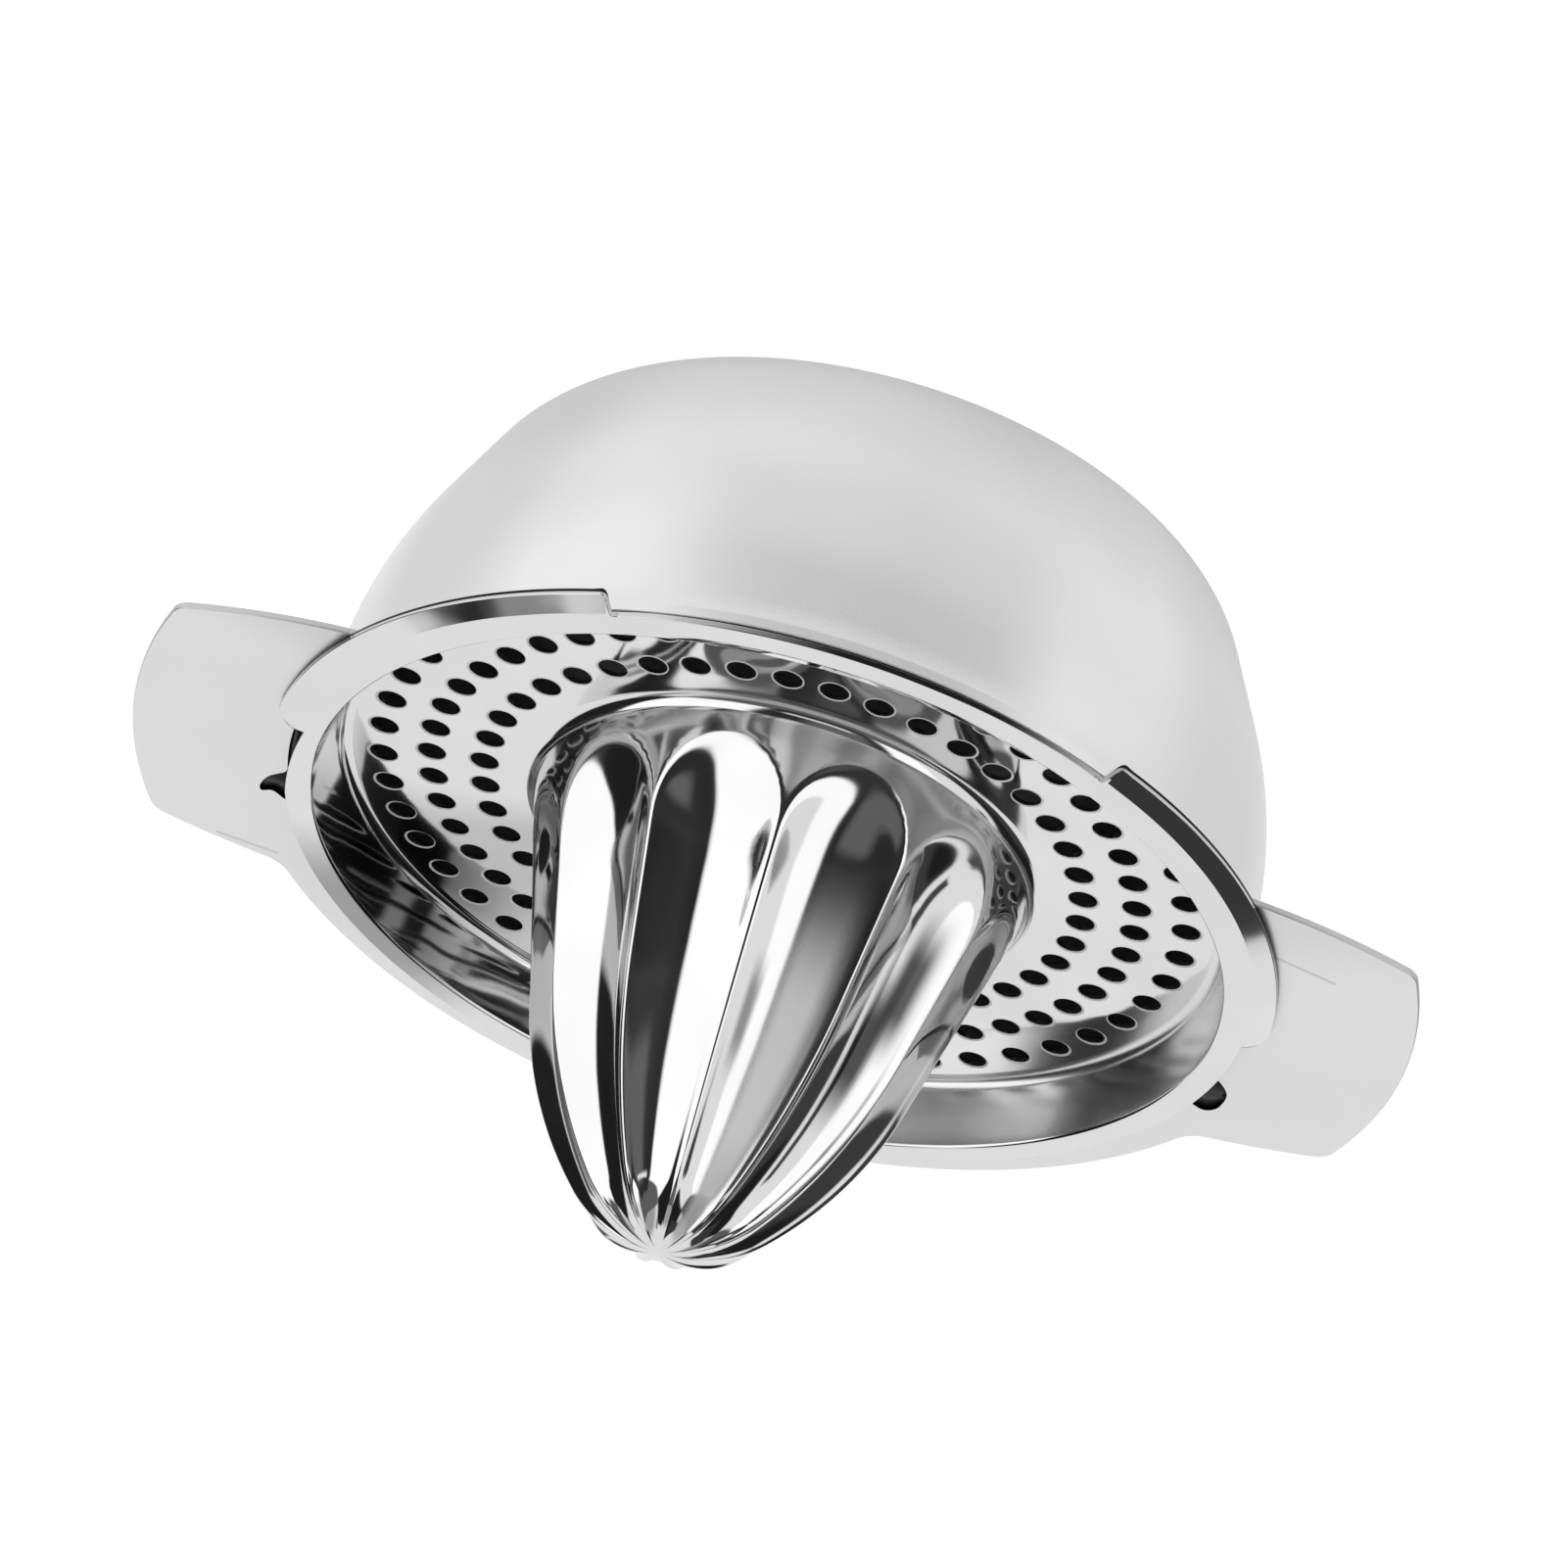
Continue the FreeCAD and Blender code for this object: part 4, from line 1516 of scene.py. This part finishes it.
class Effects:
    """Node groups of the finishes, each built once, when a material first asks for it."""

    @cached_property
    def cloud(self) -> bpy.types.NodeTree:
        """Soft patches from 0 to 1: noise of three octaves, drawn apart by a contrast."""
        effect = Effect("soft_patches", Scale=40.0, Contrast=1.0)
        scale, contrast = effect.inputs
        value = noise(effect.tree, scale, 2.0)
        return effect.finish(((value - 0.5) * contrast + 0.5).clamped())

    @cached_property
    def waviness(self) -> bpy.types.NodeTree:
        """Height of the slight unevenness that pressing leaves in a sheet, in metres."""
        effect = Effect("pressed_waviness", "Height", Scale=60.0, Height=0.0001)
        scale, height = effect.inputs
        return effect.finish((noise(effect.tree, scale, 1.0) - 0.5) * height)

    @cached_property
    def grain(self) -> bpy.types.NodeTree:
        """Fine specks of a blasted or tumbled surface, from 0 to 1."""
        effect = Effect("fine_grain", Scale=2500.0)
        return effect.finish(noise(effect.tree, effect.inputs[0], 2.0))

    @cached_property
    def hollow_side(self) -> bpy.types.NodeTree:
        """Mask of the inside of a bowl.

        It is 1 where the normal leans towards a point on the axis at the given height: the dot
        product of the normal and of the way from that point to the surface, in metres, lies far
        below 0.
        """
        effect = Effect("hollow_side", Height=0.0448)
        x, y, z = coordinate_parts(effect.tree)
        normal_x, normal_y, normal_z = coordinate_parts(effect.tree, "Normal")
        lean = x * normal_x + y * normal_y + (z - effect.inputs[0]) * normal_z
        return effect.finish(lean.ranged((-0.034, -0.024), (1, 0)))

    @cached_property
    def cut_edge_and_shade(self) -> bpy.types.NodeTree:
        """Mask of the sheared edge of a sheet: upright surface beyond a radius."""
        # The finishes grey this edge partly for its unpolished cut and partly as painted shade.
        effect = Effect("cut_edge_and_shade", Radius=0.055)
        x, y, _ = coordinate_parts(effect.tree)
        level = abs(coordinate_parts(effect.tree, "Normal")[2])
        beyond = axis_reach(x, y).math("GREATER_THAN", effect.inputs[0])
        return effect.finish(level.ranged((0.45, 0.7), (1, 0)) * beyond)

    @cached_property
    def opening_shade(self) -> bpy.types.NodeTree:
        """Mask of the painted shade in the two openings, below the sheet's upper side.

        It is a box in radius, in distance to either side of the handles' line and in height.
        """
        effect = Effect("opening_shade", Bottom=0.04443, Top=0.04516, Aside=0.0215)
        bottom, top, aside = effect.inputs
        x, y, z = coordinate_parts(effect.tree)
        ring = axis_reach(x, y).window(0.0552, 0.0615, 0.0001)
        between = z.math("LESS_THAN", top) * z.math("GREATER_THAN", bottom)
        return effect.finish(ring * abs(y).math("LESS_THAN", aside) * between)

    @cached_property
    def crease_shade(self) -> bpy.types.NodeTree:
        """Mask of the painted shade along a fine pressed line between two points in plan.

        The share along the line is the dot product of the way from its start with its own
        direction over the square of its length, held between 0 and 1. The mask falls off with
        the distance to the point at that share.
        """
        effect = Effect("crease_shade", Start_X=0.0, Start_Y=0.0, End_X=0.01, End_Y=0.0, Width=0.0005)
        start_x, start_y, end_x, end_y, width = effect.inputs
        x, y, _ = coordinate_parts(effect.tree)
        along_x, along_y = end_x - start_x, end_y - start_y
        from_x, from_y = x - start_x, y - start_y
        square = along_x * along_x + along_y * along_y
        share = ((from_x * along_x + from_y * along_y) / square).clamped()
        away = axis_reach(from_x - share * along_x, from_y - share * along_y) / width
        return effect.finish(away.ranged((0.1, 0.7), (1, 0)))

    @cached_property
    def hole_rim_highlight(self) -> bpy.types.NodeTree:
        """Mask of the painted highlights, white matt rims, round one ring of holes.

        The angle from the nearest hole is the fraction of a whole step about the ring. With the
        radius it gives the distance to that hole's middle, and the rim is a narrow band of it.
        """
        effect = Effect("hole_rim_highlight", Ring=0.04, Step=7.5, First=0.0, Hole=0.00165)
        ring, step, first, hole = effect.inputs
        x, y, _ = coordinate_parts(effect.tree)
        off = ((axis_angle(x, y) - first) / step + 100.5).math("FRACT") - 0.5
        aside = (off * step).math("RADIANS") * ring
        away = axis_reach(x, y) - ring
        band = (axis_reach(away, aside) - hole).window(-0.0002, 0.00022, 0.00008)
        level = coordinate_parts(effect.tree, "Normal")[2].ranged((0.25, 0.6), (0, 1))
        return effect.finish(band * level)

    @cached_property
    def gap_shade(self) -> bpy.types.NodeTree:
        """Mask of the lower half of the lugs' edges, which lies in the gap over the handles."""
        effect = Effect("gap_shade", Top=0.04575, Radius=0.0575)
        top, radius = effect.inputs
        x, y, z = coordinate_parts(effect.tree)
        beyond = axis_reach(x, y).math("GREATER_THAN", radius)
        return effect.finish(beyond * z.math("LESS_THAN", top))

    @cached_property
    def soft_patch(self) -> bpy.types.NodeTree:
        """Mask of a soft patch on a turned piece.

        It falls off with the angle from its middle over the width, from 0.2 of it to 0.7, and
        with the height over the length.
        """
        effect = Effect("soft_patch", Angle=0.0, Width=12.0, Height=0.06, Length=0.02)
        angle, width, height, length = effect.inputs
        x, y, z = coordinate_parts(effect.tree)
        across = (abs(axis_angle(x, y) - angle) / width).ranged((0.2, 0.7), (1, 0))
        along = (abs(z - height) / length).ranged((0.15, 0.6), (1, 0))
        return effect.finish(across * along)

    @cached_property
    def drawn_wall(self) -> bpy.types.NodeTree:
        """Mask of the dish's steep wall towards -X and, more weakly, of the reamer's foot."""
        effect = Effect("drawn_wall", Foot=0.2)
        x, y, z = coordinate_parts(effect.tree)
        reach = axis_reach(x, y)
        wall = reach.window(0.0502, 0.056, 0.0006) * z.ranged((0.0466, 0.0470), (1, 0))
        wall = wall * x.ranged((-0.01, 0.02), (1, 0))
        foot = reach.window(0.024, 0.0325, 0.001) * z.ranged((0.041, 0.048), (1, 0))
        return effect.finish(wall.math("MAXIMUM", foot * effect.inputs[0]))


@dataclass(frozen=True)
class Patch:
    """Soft patch on a turned piece.

    Attributes:
        angle: Its middle about the axis from +X, in degrees.
        width: Its width about the axis, in degrees.
        height: Height of its middle, in metres.
        length: Its length upwards, in metres.
        strength: Strength of its mask in the middle.
    """

    angle: float
    width: float
    height: float
    length: float
    strength: float = 1.0

    def mask(self, tree: bpy.types.NodeTree, group: bpy.types.NodeTree) -> Wire:
        """Places the patch in a material.

        Args:
            tree: Node tree of the material.
            group: Group of the soft patches.

        Returns:
            The patch's mask.
        """
        found = place_group(tree, group, Angle=self.angle, Width=self.width, Height=self.height,
                            Length=self.length)
        return found * self.strength


@dataclass(frozen=True)
class HoleRing:
    """Ring of holes in the dish: its radius in metres, and its step and first angle in degrees."""

    radius: float
    step: float
    first: float


@dataclass(frozen=True)
class MirrorSteel:
    """Polished stainless sheet of the strainer."""

    dark: tuple[float, ...] = (0.72, 0.72, 0.73, 1.0)
    light: tuple[float, ...] = (0.80, 0.80, 0.80, 1.0)
    patch_scale: float = 55.0
    patch_contrast: float = 1.6
    roughness: tuple[float, float] = (0.04, 0.09)
    wall_roughness: float = 0.16
    # Painted sheen: where it lies the sheet turns matt and this much rougher.
    sheen_roughness: float = 0.40
    # Cut edges beyond this radius are greyed, partly for their cut and partly as painted shade.
    edge_radius: float = 0.0551
    edge_level: float = 0.66
    # Painted shade: black lower lug edges in the gap and a black edge over the pouring side.
    gap_level: float = 0.02
    shaded_edge: Patch = Patch(-100.0, 44.0, 0.0466, 0.008)
    # Painted sheen: white, matt patches that stand for reflected light, as do the holes' rims.
    sheen_patches: tuple[Patch, ...] = (
        Patch(-110.0, 15.0, 0.075, 0.042, 0.80), Patch(-62.0, 13.0, 0.068, 0.045, 0.03))
    sheen_level: float = 1.0
    # Painted reflections: dark patches on the flutes and the dish's wall.
    dark_patches: tuple[Patch, ...] = (
        Patch(-145.2, 9.0, 0.0590, 0.018, 0.95), Patch(-140.8, 9.5, 0.0675, 0.019, 0.95),
        Patch(-95.0, 4.5, 0.0710, 0.013, 0.65), Patch(36.0, 36.0, 0.0435, 0.012, 0.80))
    dark_level: float = 0.05
    hole_rings: tuple[HoleRing, ...] = (
        HoleRing(0.04707, 7.5, 0.65), HoleRing(0.04132, 7.5, -3.1),
        HoleRing(0.03512, 8.5714, 2.96))
    wave_scale: float = 130.0
    wave_height: float = 0.00006

    def colour(self, tree: bpy.types.NodeTree, effects: Effects, patches: Wire,
               sheen_mask: Wire) -> Wire:
        """Colour of the sheet.

        Args:
            tree: Node tree of the material.
            effects: The node groups.
            patches: Soft patches over the sheet, from 0 to 1.
            sheen_mask: Mask of the painted sheen and highlights.

        Returns:
            The colour: patchy steel, with cut edges greyed partly as painted shade, painted shade
            in the gaps, painted dark reflections and painted sheen laid over.
        """
        colour = mix(patches, self.dark, self.light, Mix.COLOUR)
        # Cut edges greyed partly as painted shade, then black painted shade in the gaps.
        edge = place_group(tree, effects.cut_edge_and_shade, Radius=self.edge_radius)
        colour = greyed(colour, edge, self.edge_level)
        front = self.shaded_edge.mask(tree, effects.soft_patch) * edge
        gap = place_group(tree, effects.gap_shade).math("MAXIMUM", front)
        colour = greyed(colour, gap, self.gap_level)
        # Painted dark reflections.
        for patch in self.dark_patches:
            colour = greyed(colour, patch.mask(tree, effects.soft_patch), self.dark_level)
        # Painted sheen and highlights, in white.
        return greyed(colour, sheen_mask, self.sheen_level)

    def sheen_places(self, tree: bpy.types.NodeTree, effects: Effects) -> Wire:
        """Places the masks of painted highlights round the holes and of painted sheen patches.

        Args:
            tree: Node tree of the material.
            effects: The node groups.

        Returns:
            The strongest of the masks.
        """
        sheen_mask = None
        masks = [place_group(tree, effects.hole_rim_highlight, Ring=ring.radius, Step=ring.step,
                             First=ring.first) for ring in self.hole_rings]
        masks += [patch.mask(tree, effects.soft_patch) for patch in self.sheen_patches]
        for mask in masks:
            sheen_mask = mask if sheen_mask is None else mask.math("MAXIMUM", sheen_mask)
        return sheen_mask

    def material(self, effects: Effects) -> bpy.types.Material:
        """Builds the material.

        Args:
            effects: The node groups.

        Returns:
            The material.
        """
        made = bpy.data.materials.new("mirror_steel")
        made.use_nodes = True
        tree = made.node_tree
        inputs = tree.nodes["Principled BSDF"].inputs
        patches = place_group(tree, effects.cloud, Scale=self.patch_scale,
                              Contrast=self.patch_contrast)
        # Painted sheen and highlights: white, matt and rougher where the mask is full.
        sheen_mask = self.sheen_places(tree, effects)
        self.colour(tree, effects, patches, sheen_mask).feed(inputs["Base Color"])
        wall = place_group(tree, effects.drawn_wall) * self.wall_roughness
        rough = patches.ranged((0, 1), self.roughness[::-1]) + wall + sheen_mask * self.sheen_roughness
        rough.feed(inputs["Roughness"])
        (1.0 - sheen_mask).feed(inputs["Metallic"])
        waves = place_group(tree, effects.waviness, Scale=self.wave_scale,
                            Height=self.wave_height)
        bumped(waves).feed(inputs["Normal"])
        return made


@dataclass(frozen=True)
class SatinSteel:
    """Matt stainless sheet of the bowl and its handles."""

    dark: tuple[float, ...] = (0.80, 0.80, 0.80, 1.0)
    light: tuple[float, ...] = (0.95, 0.95, 0.95, 1.0)
    patch_scale: float = 26.0
    patch_contrast: float = 2.2
    grain_scale: float = 2600.0
    grain_share: float = 0.2
    grain_height: float = 0.000012
    roughness: tuple[float, float] = (0.30, 0.40)
    metallic: float = 0.75
    # Painted shade: the bowl's inside is darkened to this level.
    inside_shade_level: float = 0.30
    # Cut edges beyond this radius are greyed, partly for their cut and partly as painted shade.
    edge_radius: float = 0.0548
    edge_level: float = 0.55
    # Painted shade in the openings, on their edges and webs.
    opening_shade_level: float = 0.008
    # Painted shade along the pressed lines on the handles.
    crease_shade_level: float = 0.62
    # Painted reflections: darker patches on the bowl's flank.
    painted_reflection_level: float = 0.70
    painted_reflections: tuple[Patch, ...] = (
        Patch(-81.5, 26.0, 0.0305, 0.024, 0.40), Patch(-101.2, 22.0, 0.0325, 0.026, 0.55),
        Patch(-34.0, 26.0, 0.033, 0.060, 0.85), Patch(-147.0, 28.0, 0.034, 0.05, 0.60),
        Patch(-38.0, 34.0, 0.021, 0.034, 0.60))
    # Ends of the pressed lines with painted shade: start X, start Y, end X, end Y in metres.
    crease_shade_lines: tuple[tuple[float, float, float, float], ...] = (
        (0.0631, 0.0244, 0.0558, 0.0251), (-0.0561, -0.0184, -0.0631, -0.0166))

    def colour(self, tree: bpy.types.NodeTree, effects: Effects, share: Wire) -> Wire:
        """Colour of the sheet.

        Args:
            tree: Node tree of the material.
            effects: The node groups.
            share: Share of the light colour.

        Returns:
            The colour: cloudy steel with painted reflections, painted shade along pressed lines,
            cut edges greyed partly as painted shade, and painted shade in the bowl's inside and
            its openings laid over.
        """
        colour = mix(share, self.dark, self.light, Mix.COLOUR)
        # Painted reflections, then painted shade on pressed lines, edges, inside and openings.
        layers = [(patch.mask(tree, effects.soft_patch), self.painted_reflection_level)
                  for patch in self.painted_reflections]
        layers += [(place_group(tree, effects.crease_shade, Start_X=start_x, Start_Y=start_y,
                                End_X=end_x, End_Y=end_y), self.crease_shade_level)
                   for start_x, start_y, end_x, end_y in self.crease_shade_lines]
        layers += [
            (place_group(tree, effects.cut_edge_and_shade, Radius=self.edge_radius), self.edge_level),
            (place_group(tree, effects.hollow_side), self.inside_shade_level),
            (place_group(tree, effects.opening_shade), self.opening_shade_level)]
        for mask, level in layers:
            colour = greyed(colour, mask, level)
        return colour

    def material(self, effects: Effects) -> bpy.types.Material:
        """Builds the material.

        Args:
            effects: The node groups.

        Returns:
            The material.
        """
        made = bpy.data.materials.new("satin_steel")
        made.use_nodes = True
        tree = made.node_tree
        inputs = tree.nodes["Principled BSDF"].inputs
        inputs["Metallic"].default_value = self.metallic
        patches = place_group(tree, effects.cloud, Scale=self.patch_scale,
                              Contrast=self.patch_contrast)
        grain = place_group(tree, effects.grain, Scale=self.grain_scale)
        share = patches * (1 - self.grain_share) + grain * self.grain_share
        self.colour(tree, effects, share).feed(inputs["Base Color"])
        patches.ranged((0, 1), self.roughness).feed(inputs["Roughness"])
        bumped(grain * self.grain_height).feed(inputs["Normal"])
        return made


@dataclass(frozen=True)
class Panel:
    """Part of the studio that polished steel reflects, by the direction in which it lies.

    Azimuth is counted from -Y towards +X and elevation from the level, in degrees. The level is
    how bright the panel is, where 1 is white.
    """

    start: float
    end: float
    low: float
    high: float
    softness: float
    level: float

    def mask(self, azimuth: Wire, elevation: Wire) -> Wire:
        """Mask of the panel, 1 inside and 0 outside, with soft sides."""
        across = azimuth.window(self.start, self.end, self.softness)
        return across * elevation.window(self.low, self.high, self.softness)


@dataclass
class Studio:
    """Floor, surroundings and camera.

    The panels stand in this order: overhead, on the +X side, on the -X side, before the
    pouring side.
    """

    back: float = 0.93
    panels: tuple[Panel, ...] = (
        Panel(-200, 200, 66, 100, 14, 0.40),
        Panel(-100, 100, 58, 110, 6, 0.13),
        Panel(29, 93, -90, 58, 4, 1.30),
        Panel(91, 134, -9, 59, 4, 0.015),
        Panel(91, 134, -60, -9, 4, 0.56),
        Panel(128, 146, 54, 62, 3, 0.3),
        Panel(137, 150, -40, 8, 4, 0.12),
        Panel(-60, -31, -90, 58, 4, 1.28),
        Panel(-94, -60, -90, 58, 6, 0.92),
        Panel(-90, -83, -9, 24, 3, 0.06),
        Panel(-142, -97, -11.5, 63, 4, 0.05),
        Panel(-140, -100, 8, 62, 7, 0.015),
        Panel(-142, -97, -60, -11.5, 3, 0.56),
        Panel(-147, -120, 33, 69, 2.5, 0.045),
        Panel(-33, 29, -90, 72, 3, 0.03),
        Panel(-26, 4, 12, 60, 12, 0.14),
        Panel(15, 30, -90, 68, 8, 0.025),
        Panel(-35, -27, -90, 68, 4, 0.025),
        Panel(-33, 29, -90, -3, 4, 0.015),
        Panel(-18, 18, 49, 55, 5, 1.0),
    )
    eye_height: float = 0.055
    floor_radius: float = 3.0
    floor_sides: int = 64
    floor_drop: float = 0.00005
    floor_diffuse: float = 0.3
    floor_glow: float = 0.90
    near_radius: tuple[float, float] = (0.121, 0.165)
    near_span: tuple[float, float] = (0.030, 0.075)
    near_level: tuple[float, float] = (0.82, 0.91)
    shade_radius: tuple[float, float] = (0.034, 0.062)
    shade_level: float = 0.55
    focal_length: float = 149.565
    sensor: float = 36.0
    clip: tuple[float, float] = (0.01, 20.0)
    target: tuple[float, float, float] = (0.00164, 0.0, 0.03133)
    distance: float = 0.74237
    azimuth: float = -0.15
    elevation: float = 29.968
    roll: float = 163.2545

    def pattern(self) -> bpy.types.NodeTree:
        """Group that gives the studio's level in a direction.

        Each panel is a mask of azimuth times elevation with soft sides, and it moves the level
        so far to its own. Later panels lie in front of earlier ones.

        Returns:
            The group, whose inputs are the azimuth and the elevation in degrees.
        """
        effect = Effect("studio_panels", "Level", Azimuth=0.0, Elevation=0.0)
        light = self.back
        for panel in self.panels:
            light = mix(panel.mask(*effect.inputs), light, panel.level, Mix.LEVEL)
        return effect.finish(light)

    def light_from(self, pattern: bpy.types.NodeTree, x: Wire, y: Wire, elevation: Wire) -> Wire:
        """Places the pattern for a direction.

        Args:
            pattern: The group of the panels.
            x: Part of the direction along X.
            y: Part of the direction along Y.
            elevation: Its elevation in radians.

        Returns:
            The studio's level there.
        """
        azimuth = x.math("ARCTAN2", y * -1.0)
        return place_group(x.tree, pattern, Azimuth=azimuth.math("DEGREES"),
                           Elevation=elevation.math("DEGREES"))

    def world(self, pattern: bpy.types.NodeTree) -> None:
        """Sets white surroundings for the camera and the panels for everything else.

        Args:
            pattern: The group of the panels.
        """
        world = bpy.data.worlds.new("studio")
        bpy.context.scene.world = world
        world.use_nodes = True
        tree = world.node_tree
        x, y, z = coordinate_parts(tree, "Generated")
        light = self.light_from(pattern, x, y, z.math("ARCSINE"))
        path = tree.nodes.new("ShaderNodeLightPath")
        seen = Wire(tree, path.outputs["Is Camera Ray"])
        back = tree.nodes["Background"]
        back.inputs["Color"].default_value = (1, 1, 1, 1)
        mix(seen, light, 1.0, Mix.LEVEL).feed(back.inputs["Strength"])

    def floor_light(self, tree: bpy.types.NodeTree, pattern: bpy.types.NodeTree) -> Wire:
        """Level that polished steel sees on the floor.

        The panels go on over the floor, at the elevation at which a point at eye height above
        the foot sees each place. Near the foot they give way to an even level, which rises
        towards +X, and the shade under the bowl lies over both.

        Args:
            tree: Node tree of the floor's material.
            pattern: The group of the panels.

        Returns:
            The level.
        """
        x, y, _ = coordinate_parts(tree)
        reach = axis_reach(x, y)
        below = math_node(tree, "ARCTAN2", -self.eye_height, reach)
        far = self.light_from(pattern, x, y, below)
        near = x.ranged(self.near_span, self.near_level)
        spread = mix(reach.ranged(self.near_radius, (0, 1)), near, far, Mix.LEVEL)
        return reach.ranged(self.shade_radius, (self.shade_level, 1.0)) * spread

    def floor(self, pattern: bpy.types.NodeTree) -> None:
        """Makes the pale level floor under the foot.

        The camera sees it white with the squeezer's own faint shadow.

        Args:
            pattern: The group of the panels.
        """
        angles = np.linspace(0, 2 * math.pi, self.floor_sides, endpoint=False)
        rows = np.array([[0.0, 0.0], [self.floor_radius / 2, 0.0], [self.floor_radius, 0.0]])
        points = revolve(rows / MM, angles)
        normals = np.zeros_like(points)
        normals[..., 2] = 1
        shell = Shell()
        shell.add_grid(points, normals)
        made = shell.mesh("studio_floor")
        made.location.z = -self.floor_drop
        material = bpy.data.materials.new("pale_floor")
        material.use_nodes = True
        tree = material.node_tree
        shader = tree.nodes["Principled BSDF"]
        shader.inputs["Base Color"].default_value = (self.floor_diffuse,) * 3 + (1,)
        shader.inputs["Roughness"].default_value = 1.0
        shader.inputs["Specular IOR Level"].default_value = 0.0
        shader.inputs["Emission Color"].default_value = (1, 1, 1, 1)
        shader.inputs["Emission Strength"].default_value = self.floor_glow
        glow = tree.nodes.new("ShaderNodeEmission")
        self.floor_light(tree, pattern).feed(glow.inputs["Strength"])
        path = tree.nodes.new("ShaderNodeLightPath")
        choice = tree.nodes.new("ShaderNodeMixShader")
        tree.links.new(path.outputs["Is Glossy Ray"], choice.inputs[0])
        tree.links.new(shader.outputs[0], choice.inputs[1])
        tree.links.new(glow.outputs[0], choice.inputs[2])
        tree.links.new(choice.outputs[0], tree.nodes["Material Output"].inputs["Surface"])
        made.data.materials.append(material)

    def camera(self) -> None:
        """Sets the camera at the photograph's angle, rolled so that the squeezer hangs over."""
        azimuth, elevation = turn(self.azimuth), turn(self.elevation)
        back = Vector((math.sin(azimuth) * math.cos(elevation),
                       -math.cos(azimuth) * math.cos(elevation), math.sin(elevation)))
        data = bpy.data.cameras.new("camera")
        data.sensor_width = self.sensor
        data.lens = self.focal_length
        data.clip_start, data.clip_end = self.clip
        made = bpy.data.objects.new("camera", data)
        made.rotation_mode = "QUATERNION"
        upright = (-back).to_track_quat("-Z", "Y")
        made.rotation_quaternion = upright @ Quaternion((0, 0, 1), -turn(self.roll))
        made.location = Vector(self.target) + back * self.distance
        bpy.context.collection.objects.link(made)
        bpy.context.scene.camera = made

    def build(self) -> None:
        """Sets up the whole studio."""
        bpy.context.scene.view_settings.view_transform = "Standard"
        pattern = self.pattern()
        self.world(pattern)
        self.floor(pattern)
        self.camera()


def dress(piece: bpy.types.Object, material: bpy.types.Material, body: str, node: str) -> None:
    """Finishes a piece.

    Args:
        piece: The piece.
        material: Its material.
        body: Body that it rides on.
        node: Node of the solids that it stands for.
    """
    piece.data.materials.append(material)
    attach(piece, body)
    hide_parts(node)
    LOG.info("%s: %d faces on %s", piece.name, len(piece.data.polygons), body)


def main() -> None:
    """Builds the squeezer and its studio in order."""
    logging.basicConfig(level=logging.INFO)
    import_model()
    effects = Effects()
    bowl = Bowl()
    dress(bowl.build(), SatinSteel().material(effects), "bowl", "bowl")
    strainer = Strainer(bowl)
    dress(strainer.build(), MirrorSteel().material(effects), "strainer", "strainer")
    Studio().build()


if __name__ == "__main__":
    main()
